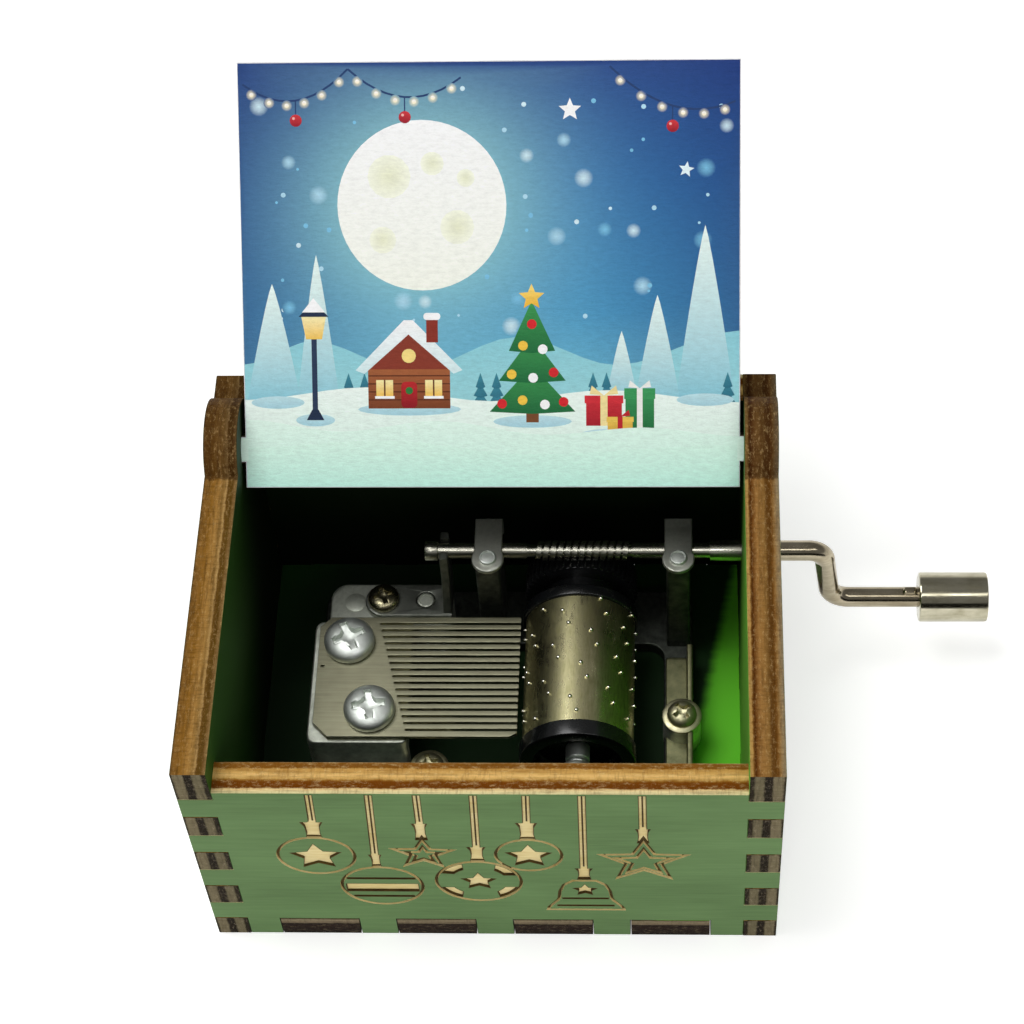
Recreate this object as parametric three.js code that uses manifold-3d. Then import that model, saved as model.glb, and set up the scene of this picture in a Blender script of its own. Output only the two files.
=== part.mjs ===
// Hand-cranked music box: an open pinned-drum movement in a finger-jointed plywood box.
// Millimetres, +Z up. The origin is the centre of the box's underside and the front faces -Y.

import * as THREE from 'three';
import { mergeVertices } from 'three/addons/utils/BufferGeometryUtils.js';
import Module from 'manifold-3d';

const wasm = await Module();
wasm.setup();

// Plywood box
const plyThickness = 3.8;
const boxWidth = 64;
const boxDepth = 52;
const sideHeight = 37.5;
const cornerFingerShare = 0.1207;
const cornerFingerCount = 7;
const frontTabCount = 4;
const frontTabPitchShare = 0.236;
const sideTabCount = 3;
const sideTabPitchShare = 0.2995;
const tabWidthShare = 0.684;
const jointClearance = 0.05;

// Lid, its lugs and the ears that carry them
const lidSideClearance = 0.4;
const lidSeatGap = 0.15;
const lidFrontSetback = 0.2;
const lidTailClearance = 0.25;
const lidStopSlackDegrees = 0.9;
const pivotToBack = 5;
const lugDepth = 2.9;
const lugClearance = 0.13;
const earWall = 3.08;

// Pinned drum and its plastic ends
const drumMiddleY = -0.4;
const leftSpareShare = 0.579;
const drumLength = 16.6;
const drumRadius = 6.4;
const drumWall = 0.7;
const drumGroundClearance = 0.5;
const pinRadius = 0.24;
const pinHeight = 0.4;
const pinRoot = 0.3;
const beatCount = 36;
const flangeOverhang = 0.3;
const spigotDepth = 1.5;
const spigotClearance = 0.1;
const capRimDepth = 2.05;
const capRimWall = 1.7;
const capRecess = 2.4;
const hubRadius = 1.4;
const hubSetback = 0.3;

// Worm wheel and worm
const wheelTeeth = 48;
const wormPitch = 0.84;
const toothAddendum = 0.19;
const toothDedendum = 0.24;
const backlash = 0.12;
const flankAngleDegrees = 20;
const wheelWidth = 3.2;
const rearFlangeThickness = 1.4;
const wheelNeckLength = 2.5;
const wheelNeckRadius = 4.2;
const wormTipRadius = 1.15;
const wormTurns = 12.5;
const wormEndRelief = 0.4;

// Drum axle and its bearings
const axleRadius = 0.75;
const axleFit = 0.06;
const axleHeadRadius = 1.3;
const axleHeadThickness = 0.6;
const axleEndPlay = 0.12;
const axleEndProud = 0.2;
const bearingWidth = 3.8;
const frontBearingThickness = 1.2;
const rearBearingThickness = 1.6;
const rearBearingGap = 0.5;

// Crankshaft, crank and knob
const shaftRadius = 0.9;
const shaftFit = 0.08;
const collarRadius = 1.15;
const collarLength = 1.55;
const collarGap = 0.2;
const spigotRadius = 0.5;
const spigotLength = 3;
const spigotBoreGap = 0.15;
const crankStartGap = 2.3;
const crankRadius = 1.12;
const crankRunOut = 4;
const crankThrow = 10;
const crankBendRadius = 1.8;
const crankBendDegrees = 77;
const crankHoleGap = 0.9;
const stakeLength = 1.8;
const stakeRise = 0.45;
const stakeWidth = 0.9;
const handleLength = 8.1;
const handleGap = 0.15;
const handleRadius = 2.95;
const handleBoreGap = 0.14;
const handleEdge = 0.2;
const crankGripRun = 6.3;
const rivetedEndRise = 0.5;
const rivetedEndLength = 0.7;
const counterboreDepth = 1.1;

// Steel comb
const toneCount = 18;
const combPitch = 0.894;
const combMiddleY = 0.1;
const combLength = 23.6;
const combThickness = 0.9;
const reedThickness = 0.5;
const combRise = 1.1;
const tipClearance = 0.2;
const slotWidth = 0.24;
const bassSlotInset = 7;
const trebleSlotInset = 10.7;
const bassCornerCut = 1.3;
const trebleCornerCut = 1.8;
const tipCornerCut = 0.9;
const weightCount = 8;
const weightLength = 2.6;
const weightTipInset = 0.9;
const weightDepthBass = 1.7;
const weightDepthStep = 0.14;

// Comb screws
const combScrewHeadRadius = 2.95;
const combScrewHeadHeight = 1.8;
const combScrewRadius = 1.25;
const combScrewLength = 3.4;
const rearScrewInsetX = 3.6;
const rearScrewInsetY = 3.5;
const frontScrewInsetX = 6.5;
const frontScrewInsetY = 3.4;
const screwHoleGap = 0.3;

// Cast frame
const baseThickness = 1.8;
const frameOverhang = 0.7;
const frontBeamWidth = 4.2;
const rearBeamWidth = 7.5;
const railGap = 3.1;
const railWidth = 3.4;
const railFlangeThickness = 0.7;
const railFlangeHeight = 3.4;
const railFlangeRearInset = 9.5;
const bedThickness = 3.2;
const bedReach = 11.6;
const bedWall = 2;
const castCornerRadius = 2;
const plateauDrop = 1.8;
const plateauInset = 1.3;
const plateauDepth = 6.4;

// Bearing posts and the caps over the crankshaft
const postWidth = 2.8;
const leftPostGap = 2.6;
const postFrontReach = 3.6;
const postRearReach = 2.9;
const postFootSpread = 0.8;
const capStripWidth = 3.25;
const capStripThickness = 0.6;
const capTabRadius = 1.87;
const capHookDrop = 2;
const capRivetOffset = 2.1;
const capRivetRadius = 0.7;
const capRivetHeadRadius = 1.02;
const capRivetHeadHeight = 0.45;
const capRivetLength = 2.4;
const rivetFit = 0.12;

// Forked plate that keeps the crankshaft in place
const forkPlateThickness = 1;
const forkPlateLength = 10;
const forkPlateDepth = 4.4;
const forkProngWidth = 0.9;
const forkRise = 1;
const forkSlotGap = 0.1;
const forkBladeGap = 3.1;
const forkShoulder = 3;
const plateScrewHeadRadius = 1.85;
const plateScrewHeadHeight = 1.2;
const plateScrewRadius = 0.8;
const plateScrewLength = 4;
const plateScrewInset = 2.3;
const locatingPegRadius = 1;
const locatingPegOffset = 5;

// Screws that hold the movement down
const footScrewHeadRadius = 2.3;
const footScrewHeadHeight = 1.5;
const footScrewRadius = 1;
const footBossRadius = 2.2;
const footScrewBite = 2.4;
const railScrewInsetX = 1.3;
const railScrewOffsetY = -2;
const frontScrewOffsetX = 2.4;
const frontScrewSetback = 3.1;

// Shape of every pan head, as shares of its own radius and height
const headProfileShares = [[0, 1], [0.45, 0.97], [0.75, 0.84], [0.93, 0.6], [1, 0.32], [1, 0]];
const crossArmShare = 1.2;
const crossWidthShare = 0.24;
const crossDepthShare = 0.6;
const rearCombScrewTurn = 25;
const frontCombScrewTurn = 8;
const rightFrameScrewTurn = 38;
const leftFrameScrewTurn = 15;
const forkPlateScrewTurn = 20;

// Facets and the overrun that every cut has past its faces
const overrun = 1;
const fineSides = 40;
const bearingSides = 24;
const rodSides = 14;
const screwSides = 16;
const pinSides = 5;
const quarterArcSteps = 4;
const earArcSteps = 18;
const bendSteps = 6;
const threadStepsPerTurn = 12;

// Box planes
const halfWidth = boxWidth / 2;
const halfDepth = boxDepth / 2;
const innerHalfWidth = halfWidth - plyThickness;
const innerHalfDepth = halfDepth - plyThickness;
const frontHeight = sideHeight - plyThickness - lidSeatGap;
const cornerFingerHeight = cornerFingerShare * frontHeight;
const frontTabPitch = frontTabPitchShare * 2 * innerHalfWidth;
const sideTabPitch = sideTabPitchShare * 2 * innerHalfDepth;

// Lid pivot
const pivotY = innerHalfDepth - pivotToBack;
const pivotZ = sideHeight - plyThickness / 2;
const pivotHoleRadius = Math.hypot(lugDepth, plyThickness) / 2 + lugClearance;
const earRadius = pivotHoleRadius + earWall;
const lidStopAngle = 2 * Math.atan2(pivotToBack, plyThickness / 2);
const lidOpenAngle = lidStopAngle - THREE.MathUtils.degToRad(lidStopSlackDegrees);
const lidTail = Math.sqrt((pivotToBack - lidTailClearance) ** 2 - (plyThickness / 2) ** 2);

// Drum and gearing
const flangeRadius = drumRadius + flangeOverhang;
const wheelPitchRadius = wheelTeeth * wormPitch / (2 * Math.PI);
const wormPitchRadius = wormTipRadius - toothAddendum;
const wormCoreRadius = wormPitchRadius - toothDedendum;
const wheelTipRadius = wheelPitchRadius + toothAddendum;
const largestDrumRadius = Math.max(flangeRadius, wheelTipRadius);
const drumZ = plyThickness + baseThickness + drumGroundClearance + largestDrumRadius;
const combTopZ = drumZ + combRise;
const reedBottomZ = combTopZ - reedThickness;
const bedZ = combTopZ - combThickness;
const pinCircle = drumRadius + pinHeight;
const tipDrop = Math.max(reedBottomZ - drumZ, 0);
const tipReach = Math.sqrt(pinCircle ** 2 - tipDrop ** 2) + tipClearance;
const drumFrontY = drumMiddleY - drumLength / 2;
const drumRearY = drumMiddleY + drumLength / 2;
const wheelFrontY = drumRearY + rearFlangeThickness + wheelNeckLength;
const wheelRearY = wheelFrontY + wheelWidth;
const wormY = (wheelFrontY + wheelRearY) / 2;
const wormZ = drumZ + wheelPitchRadius + wormPitchRadius;
const capFrontY = drumFrontY - capRimDepth;
const hubFrontY = capFrontY + hubSetback;
const axleHeadY = hubFrontY - axleHeadThickness - axleEndPlay;
const frontBearingY = axleHeadY - axleEndPlay;
const rearBearingY = wheelRearY + rearBearingGap;

// Movement's place across the box, where the spare width is shared out to its left and right
const leftReach = frameOverhang + combLength + tipReach;
const rightReach = largestDrumRadius + railGap + railWidth + footScrewHeadRadius - railScrewInsetX;
const spareWidth = 2 * innerHalfWidth - leftReach - rightReach;
const drumX = leftSpareShare * spareWidth + leftReach - innerHalfWidth;

// Comb
const combTipX = drumX - tipReach;
const combLeftX = combTipX - combLength;
const combWidth = toneCount * combPitch;
const combFrontY = combMiddleY - combWidth / 2;
const combRearY = combMiddleY + combWidth / 2;

// Cast frame
const floorZ = plyThickness;
const baseTopZ = floorZ + baseThickness;
const frameLeftX = combLeftX - frameOverhang;
const frameFrontY = frontBearingY - frontBearingThickness;
const frameRearY = rearBearingY + rearBearingThickness;
const railLeftX = drumX + largestDrumRadius + railGap;
const railRightX = railLeftX + railWidth;
const footBossZ = baseTopZ + railFlangeHeight;
const blockFrontY = frameFrontY + frontBeamWidth;
const plateauZ = bedZ - plateauDrop;
const plateauRearY = combRearY + plateauDepth;

// Bearing posts
const leftPostX = drumX - wheelTipRadius - leftPostGap - postWidth / 2;
const rightPostX = (railLeftX + railRightX) / 2;
const capSeatZ = wormZ + shaftRadius + shaftFit;
const capRivetY = wormY - capRivetOffset;

// Fork plate
const forkPlateZ = plateauZ + forkPlateThickness;
const forkBladeX = leftPostX - capStripWidth / 2 - forkBladeGap - forkPlateThickness / 2;
const forkPlateMiddleY = wormY - forkPlateDepth / 2 + forkProngWidth / 2;
const plateScrewX = forkBladeX - forkPlateLength + plateScrewInset;
const locatingPegX = plateScrewX + locatingPegOffset;

// Crankshaft stations along X
const collarRightX = forkBladeX - forkPlateThickness / 2 - collarGap;
const shaftLeftX = collarRightX - collarLength;
const crankStartX = rightPostX + postWidth / 2 + crankStartGap;
const crankBendX = halfWidth + crankRunOut;
const crankBend = THREE.MathUtils.degToRad(crankBendDegrees);
const crankLean = (crankThrow - 2 * crankBendRadius * (1 - Math.cos(crankBend))) / Math.sin(crankBend);
const gripStartX = crankBendX + 2 * crankBendRadius * Math.sin(crankBend) + crankLean * Math.cos(crankBend);
const stakeEndX = gripStartX + crankGripRun + stakeLength;
const handleStartX = stakeEndX + handleGap;
const gripEndX = handleStartX + handleLength - (counterboreDepth - rivetedEndLength) / 2;

// Joins and cuts of closed meshes
function bareGeometry(geometry) {
  const bare = geometry.clone();
  for (const name of Object.keys(bare.attributes)) {
    if (name !== 'position') bare.deleteAttribute(name);
  }
  return mergeVertices(bare);
}

function solid(geometry) {
  const merged = bareGeometry(geometry);
  const points = merged.getAttribute('position').array;
  const corners = [];
  for (let i = 0; i < merged.index.count; i += 3) {
    const [a, b, c] = merged.index.array.slice(i, i + 3);
    if (a !== b && b !== c && c !== a) corners.push(a, b, c);
  }
  const mesh = new wasm.Mesh({
    numProp: 3,
    vertProperties: Float32Array.from(points),
    triVerts: Uint32Array.from(corners),
  });
  return new wasm.Manifold(mesh);
}

function joined(first, ...others) {
  return others.reduce((whole, part) => whole.add(part), first);
}

function cut(body, ...tools) {
  return tools.reduce((rest, tool) => rest.subtract(tool), body);
}

function geometryOf(body) {
  const mesh = body.getMesh();
  const geometry = new THREE.BufferGeometry();
  geometry.setAttribute('position', new THREE.BufferAttribute(mesh.vertProperties, 3));
  geometry.setIndex(new THREE.BufferAttribute(mesh.triVerts, 1));
  const flat = geometry.toNonIndexed();
  flat.computeVertexNormals();
  return flat;
}

function piece(name, body, finish) {
  const mesh = new THREE.Mesh(geometryOf(body), new THREE.MeshStandardMaterial(finish));
  mesh.name = name;
  return mesh;
}

function groupAt(x, y, z, ...pieces) {
  const group = new THREE.Group();
  group.position.set(x, y, z);
  group.add(...pieces);
  return group;
}

// Turns an extrusion so that its outline lies in a plane of the frame
const outlinePlanes = {
  xy: new THREE.Matrix4(),
  xz: new THREE.Matrix4().makeBasis(
    new THREE.Vector3(1, 0, 0), new THREE.Vector3(0, 0, 1), new THREE.Vector3(0, -1, 0)),
  yz: new THREE.Matrix4().makeBasis(
    new THREE.Vector3(0, 1, 0), new THREE.Vector3(0, 0, 1), new THREE.Vector3(1, 0, 0)),
};

// Extrudes an outline of the plane from the lower to the upper place on its normal
function slab(outline, plane, lower, upper, arcSteps = quarterArcSteps) {
  const geometry = new THREE.ExtrudeGeometry(outline, {
    depth: upper - lower, bevelEnabled: false, curveSegments: arcSteps / 2,
  });
  const shift = plane === 'xz' ? -upper : lower;
  geometry.translate(0, 0, shift);
  geometry.applyMatrix4(outlinePlanes[plane]);
  return solid(geometry);
}

function block(lowX, highX, lowY, highY, lowZ, highZ) {
  const geometry = new THREE.BoxGeometry(highX - lowX, highY - lowY, highZ - lowZ);
  geometry.translate((lowX + highX) / 2, (lowY + highY) / 2, (lowZ + highZ) / 2);
  return solid(geometry);
}

function outlineOf(points) {
  return new THREE.Shape(points.map(([u, v]) => new THREE.Vector2(u, v)));
}

function circlePath(u, v, radius) {
  return new THREE.Path().absarc(u, v, radius, 0, 2 * Math.PI, true);
}

function roundedRectangle(lowU, highU, lowV, highV, radius) {
  const outline = new THREE.Shape();
  outline.absarc(highU - radius, lowV + radius, radius, -Math.PI / 2, 0, false);
  outline.absarc(highU - radius, highV - radius, radius, 0, Math.PI / 2, false);
  outline.absarc(lowU + radius, highV - radius, radius, Math.PI / 2, Math.PI, false);
  outline.absarc(lowU + radius, lowV + radius, radius, Math.PI, 1.5 * Math.PI, false);
  outline.closePath();
  return outline;
}

// Turns a profile of radius and height about an axis of the frame
const axisTurns = {
  x: new THREE.Matrix4().makeRotationZ(-Math.PI / 2),
  y: new THREE.Matrix4(),
  z: new THREE.Matrix4().makeRotationX(Math.PI / 2),
};

function turned(profile, axis, sides) {
  const points = profile.map(([radius, height]) => new THREE.Vector2(radius, height));
  const geometry = new THREE.LatheGeometry(points, sides);
  geometry.applyMatrix4(axisTurns[axis]);
  return solid(geometry);
}

// A ring's profile runs outside upwards, inside downwards and back to its start
function turnedRing(outer, inner, axis, sides) {
  return turned([...outer, ...[...inner].reverse(), outer[0]], axis, sides);
}

function rod(axis, radius, low, high, sides) {
  return turned([[0, low], [radius, low], [radius, high], [0, high]], axis, sides);
}

function rodAt(axis, radius, low, high, sides, x, y, z) {
  return rod(axis, radius, low, high, sides).translate([x, y, z]);
}

// Plywood panels. Odd corner fingers, counted from the floor, belong to the front and back panels.
function cornerFingerHeights() {
  const starts = Array.from({ length: cornerFingerCount }, (_, i) => i).filter((i) => i % 2 === 0);
  return starts.map((i) => {
    const low = plyThickness + i * cornerFingerHeight;
    return [low, low + cornerFingerHeight];
  });
}

function tabSpans(count, pitch) {
  const half = tabWidthShare * pitch / 2;
  return Array.from({ length: count }, (_, i) => {
    const centre = (i - (count - 1) / 2) * pitch;
    return [centre - half, centre + half];
  });
}

function frontTabSpans() {
  return tabSpans(frontTabCount, frontTabPitch);
}

function sideTabSpans() {
  return tabSpans(sideTabCount, sideTabPitch);
}

// From just inside a panel's inner face to its outer face, lowest place first
function throughWall(halfLength, towards, beyond) {
  const inner = towards * (halfLength - plyThickness - overrun);
  const outer = towards * (halfLength + beyond);
  return [Math.min(inner, outer), Math.max(inner, outer)];
}

function bottomPanel() {
  let panel = block(-innerHalfWidth, innerHalfWidth, -innerHalfDepth, innerHalfDepth, 0, plyThickness);
  for (const towards of [-1, 1]) {
    const acrossDepth = throughWall(halfDepth, towards, 0);
    const acrossWidth = throughWall(halfWidth, towards, 0);
    for (const [low, high] of frontTabSpans()) {
      const tab = block(low + jointClearance, high - jointClearance, ...acrossDepth, 0, plyThickness);
      panel = panel.add(tab);
    }
    for (const [low, high] of sideTabSpans()) {
      const tab = block(...acrossWidth, low + jointClearance, high - jointClearance, 0, plyThickness);
      panel = panel.add(tab);
    }
  }
  const biteZ = plyThickness - footScrewBite - screwHoleGap;
  const holes = footScrewPlaces().map(([x, y]) => (
    rodAt('z', footScrewRadius + screwHoleGap, biteZ, plyThickness + overrun, screwSides, x, y, 0)
  ));
  return cut(panel, ...holes);
}

// The front and back panels differ in height and place alone
function endPanel(height, lowY, highY) {
  const fingers = cornerFingerHeights().map(([low, high]) => block(
    -halfWidth, halfWidth, lowY, highY, low + jointClearance, high - jointClearance));
  const panel = joined(block(-innerHalfWidth, innerHalfWidth, lowY, highY, 0, height), ...fingers);
  const notches = frontTabSpans().map(([low, high]) => block(
    low, high, lowY - overrun, highY + overrun, -overrun, plyThickness));
  return cut(panel, ...notches);
}

function sidePanelOutline() {
  const earHalf = Math.sqrt(earRadius ** 2 - (sideHeight - pivotZ) ** 2);
  const earStart = Math.atan2(sideHeight - pivotZ, earHalf);
  const outline = new THREE.Shape();
  outline.moveTo(-halfDepth, 0);
  outline.lineTo(halfDepth, 0);
  outline.lineTo(halfDepth, sideHeight);
  outline.lineTo(pivotY + earHalf, sideHeight);
  outline.absarc(pivotY, pivotZ, earRadius, earStart, Math.PI - earStart, false);
  outline.lineTo(-halfDepth, sideHeight);
  outline.closePath();
  return outline;
}

function sidePanel(lowX, highX) {
  const panel = slab(sidePanelOutline(), 'yz', lowX, highX, earArcSteps);
  const fingerSlots = cornerFingerHeights().flatMap(([low, high]) => [-1, 1].map((end) => {
    const inner = end * innerHalfDepth;
    const outer = end * (halfDepth + overrun);
    return block(lowX - overrun, highX + overrun, Math.min(inner, outer), Math.max(inner, outer), low, high);
  }));
  const floorNotches = sideTabSpans().map(([low, high]) => block(
    lowX - overrun, highX + overrun, low, high, -overrun, plyThickness));
  const pivotHole = rodAt('x', pivotHoleRadius, lowX - overrun, highX + overrun, bearingSides,
    0, pivotY, pivotZ);
  return cut(panel, ...fingerSlots, ...floorNotches, pivotHole);
}

function leftPanel() {
  return sidePanel(-halfWidth, -innerHalfWidth);
}

function rightPanel() {
  const crankHole = rodAt('x', crankRadius + crankHoleGap, innerHalfWidth - overrun, halfWidth + overrun,
    bearingSides, 0, wormY, wormZ);
  return sidePanel(innerHalfWidth, halfWidth).subtract(crankHole);
}

// The lid is drawn closed about its pivot, and its group turns it open
function lidPanel() {
  const half = plyThickness / 2;
  const lidHalfWidth = innerHalfWidth - lidSideClearance;
  const leaf = block(-lidHalfWidth, lidHalfWidth, lidFrontSetback - halfDepth - pivotY, lidTail, -half, half);
  const lugs = block(-halfWidth, halfWidth, -lugDepth / 2, lugDepth / 2, -half, half);
  return leaf.add(lugs);
}

// Screws and rivets stand on z = 0 with their shanks below it
function panHead(radius, height) {
  return headProfileShares.map(([r, h]) => [r * radius, h * height]).reverse();
}

function crossRecess(radius, height, turn) {
  const arm = radius * crossArmShare / 2;
  const half = radius * crossWidthShare / 2;
  const floor = height * (1 - crossDepthShare);
  const bar = block(-arm, arm, -half, half, floor, height + overrun);
  return bar.add(bar.rotate([0, 0, 90])).rotate([0, 0, turn]);
}

function panScrew(headRadius, headHeight, shankRadius, length, turn) {
  const body = turned([[0, -length], [shankRadius, -length], [shankRadius, 0],
    ...panHead(headRadius, headHeight)], 'z', screwSides);
  return body.subtract(crossRecess(headRadius, headHeight, turn));
}

function rivet(headRadius, headHeight, shankRadius, length) {
  return turned([[0, -length], [shankRadius, -length], [shankRadius, 0],
    ...panHead(headRadius, headHeight)], 'z', rodSides);
}

function combScrewPlaces() {
  return [
    [combLeftX + rearScrewInsetX, combRearY - rearScrewInsetY],
    [combLeftX + frontScrewInsetX, combFrontY + frontScrewInsetY],
  ];
}

function footScrewPlaces() {
  return [
    [railRightX - railScrewInsetX, drumMiddleY + railScrewOffsetY],
    [frameLeftX + bedReach + frontScrewOffsetX, frameFrontY + frontScrewSetback],
  ];
}

function combScrew(turn) {
  return panScrew(combScrewHeadRadius, combScrewHeadHeight, combScrewRadius, combScrewLength, turn);
}

function footScrew(turn) {
  const length = footBossZ - floorZ + footScrewBite;
  return panScrew(footScrewHeadRadius, footScrewHeadHeight, footScrewRadius, length, turn);
}

// Comb: one steel plate, thinned and slit into reeds that end at the drum's pins
function combOutline() {
  return outlineOf([
    [combLeftX, combFrontY + trebleCornerCut],
    [combLeftX + trebleCornerCut, combFrontY],
    [combTipX - tipCornerCut, combFrontY],
    [combTipX, combFrontY + tipCornerCut],
    [combTipX, combRearY],
    [combLeftX + bassCornerCut, combRearY],
    [combLeftX, combRearY - bassCornerCut],
  ]);
}

function combSlots() {
  return Array.from({ length: toneCount - 1 }, (_, i) => {
    const y = combFrontY + (i + 1) * combPitch;
    const inset = THREE.MathUtils.lerp(trebleSlotInset, bassSlotInset, i / (toneCount - 2));
    return block(combLeftX + inset, combTipX + overrun, y - slotWidth / 2, y + slotWidth / 2,
      bedZ - overrun, combTopZ + overrun);
  });
}

function combWeights() {
  const high = combTipX - weightTipInset;
  return Array.from({ length: weightCount }, (_, i) => {
    const rearSlot = combRearY - i * combPitch - slotWidth / 2;
    const drop = weightDepthBass - i * weightDepthStep;
    return block(high - weightLength, high, rearSlot - combPitch + slotWidth, rearSlot,
      reedBottomZ - drop, combTopZ - reedThickness / 2);
  });
}

function comb() {
  const plate = slab(combOutline(), 'xy', bedZ, combTopZ);
  const thinning = block(frameLeftX + bedReach, combTipX + overrun, combFrontY - overrun,
    combRearY + overrun, bedZ - overrun, reedBottomZ);
  const holes = combScrewPlaces().map(([x, y]) => rodAt('z', combScrewRadius + screwHoleGap,
    bedZ - overrun, combTopZ + overrun, screwSides, x, y, 0));
  return joined(cut(plate, thinning, ...combSlots(), ...holes), ...combWeights());
}

// Drum, built about its own axis along Y
function drumPins() {
  const height = pinHeight + pinRoot;
  return Array.from({ length: 2 * beatCount }, (_, i) => {
    const beat = i >> 1;
    const tone = (beat * 5 + (i % 2) * 7) % toneCount;
    const turn = 2 * Math.PI * (beat + (i % 2) / 3) / beatCount;
    const pin = new THREE.CylinderGeometry(pinRadius, pinRadius, height, pinSides);
    pin.translate(0, drumRadius - pinRoot + height / 2, 0);
    pin.rotateX(Math.PI / 2);
    pin.rotateY(turn);
    pin.translate(0, combFrontY + (tone + 1 / 2) * combPitch, 0);
    return solid(pin);
  });
}

function drumTube() {
  const inner = drumRadius - drumWall;
  const tube = turnedRing([[drumRadius, drumFrontY], [drumRadius, drumRearY]],
    [[inner, drumFrontY], [inner, drumRearY]], 'y', fineSides);
  return joined(tube, ...drumPins());
}

const spigotOuterRadius = drumRadius - drumWall - spigotClearance;
const axleBoreRadius = axleRadius + axleFit;

function drumEndCap() {
  const recessRadius = flangeRadius - capRimWall;
  const recessY = capFrontY + capRecess;
  const webY = drumFrontY + spigotDepth;
  const outer = [[hubRadius, hubFrontY], [hubRadius, recessY], [recessRadius, recessY],
    [recessRadius, capFrontY], [flangeRadius, capFrontY], [flangeRadius, drumFrontY],
    [spigotOuterRadius, drumFrontY], [spigotOuterRadius, webY]];
  const inner = [[axleBoreRadius, hubFrontY], [axleBoreRadius, webY]];
  return turnedRing(outer, inner, 'y', fineSides);
}

// Worm wheel teeth are set at the worm's lead, so they are twisted about the drum's axis
function wheelToothOutline() {
  const halfPitch = (wormPitch / 2 - backlash) / 2;
  const slope = Math.tan(THREE.MathUtils.degToRad(flankAngleDegrees));
  const corners = [
    [-halfPitch - toothDedendum * slope, wheelPitchRadius - toothDedendum],
    [-halfPitch + toothAddendum * slope, wheelTipRadius],
    [halfPitch - toothAddendum * slope, wheelTipRadius],
    [halfPitch + toothDedendum * slope, wheelPitchRadius - toothDedendum],
  ];
  const points = [];
  for (let tooth = 0; tooth < wheelTeeth; tooth += 1) {
    const turn = -2 * Math.PI * tooth / wheelTeeth;
    for (const [across, radius] of corners) {
      const angle = turn - across / wheelPitchRadius;
      points.push([-radius * Math.sin(angle), radius * Math.cos(angle)]);
    }
  }
  return outlineOf(points.reverse());
}

function wheelRim() {
  const geometry = new THREE.ExtrudeGeometry(wheelToothOutline(), {
    depth: wheelWidth, steps: 2, bevelEnabled: false,
  });
  geometry.translate(0, 0, -wheelRearY);
  geometry.applyMatrix4(outlinePlanes.xz);
  const lead = wormPitch / (2 * Math.PI * wormPitchRadius);
  const places = geometry.getAttribute('position');
  const place = new THREE.Vector3();
  const axis = new THREE.Vector3(0, 1, 0);
  for (let i = 0; i < places.count; i += 1) {
    place.fromBufferAttribute(places, i);
    place.applyAxisAngle(axis, (place.y - wormY) * lead / wheelPitchRadius);
    places.setXYZ(i, place.x, place.y, place.z);
  }
  return solid(geometry);
}

function wormWheel() {
  const front = drumRearY - spigotDepth;
  const flangeRearY = drumRearY + rearFlangeThickness;
  const core = turned([[0, front], [spigotOuterRadius, front], [spigotOuterRadius, drumRearY],
    [flangeRadius, drumRearY], [flangeRadius, flangeRearY], [wheelNeckRadius, flangeRearY],
    [wheelNeckRadius, wheelRearY], [0, wheelRearY]], 'y', fineSides);
  const bore = rod('y', axleBoreRadius, front - overrun, wheelRearY + overrun, rodSides);
  return core.add(wheelRim()).subtract(bore);
}

function drumAxle() {
  const end = frameRearY + axleEndProud;
  const start = frameFrontY - axleEndProud;
  return turned([[0, start], [axleRadius, start], [axleRadius, axleHeadY], [axleHeadRadius, axleHeadY],
    [axleHeadRadius, axleHeadY + axleHeadThickness], [axleRadius, axleHeadY + axleHeadThickness],
    [axleRadius, end], [0, end]], 'y', rodSides);
}

// Crankshaft, built about its own axis along X, with a right-hand thread over the wheel
function wormThread() {
  const halfPitch = (wormPitch / 2 - backlash) / 2;
  const slope = Math.tan(THREE.MathUtils.degToRad(flankAngleDegrees));
  const innerRadius = wormCoreRadius - toothDedendum / 2;
  const steps = Math.round(wormTurns * threadStepsPerTurn);
  const places = [];
  const corners = [];
  for (let i = 0; i <= steps; i += 1) {
    const turns = i / threadStepsPerTurn - wormTurns / 2;
    const angle = 2 * Math.PI * turns - Math.PI / 2;
    const x = (turns + 1 / 2) * wormPitch;
    const fade = Math.min(1, i / threadStepsPerTurn, (steps - i) / threadStepsPerTurn);
    const tip = THREE.MathUtils.lerp((wormCoreRadius + innerRadius) / 2, wormTipRadius, fade);
    const tipHalf = halfPitch - (tip - wormPitchRadius) * slope;
    const rootHalf = halfPitch + (wormPitchRadius - innerRadius) * slope;
    for (const [radius, shift] of [[innerRadius, -rootHalf], [tip, -tipHalf], [tip, tipHalf],
      [innerRadius, rootHalf]]) {
      places.push(x + shift, radius * Math.cos(angle), radius * Math.sin(angle));
    }
    for (let side = 0; side < 4 && i < steps; side += 1) {
      const here = 4 * i + side;
      const next = 4 * i + (side + 1) % 4;
      corners.push(here, here + 4, next, next, here + 4, next + 4);
    }
  }
  const last = 4 * steps;
  corners.push(0, 1, 2, 0, 2, 3, last, last + 2, last + 1, last, last + 3, last + 2);
  const geometry = new THREE.BufferGeometry();
  geometry.setAttribute('position', new THREE.Float32BufferAttribute(places, 3));
  geometry.setIndex(corners);
  return solid(geometry).translate([drumX, 0, 0]);
}

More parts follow.
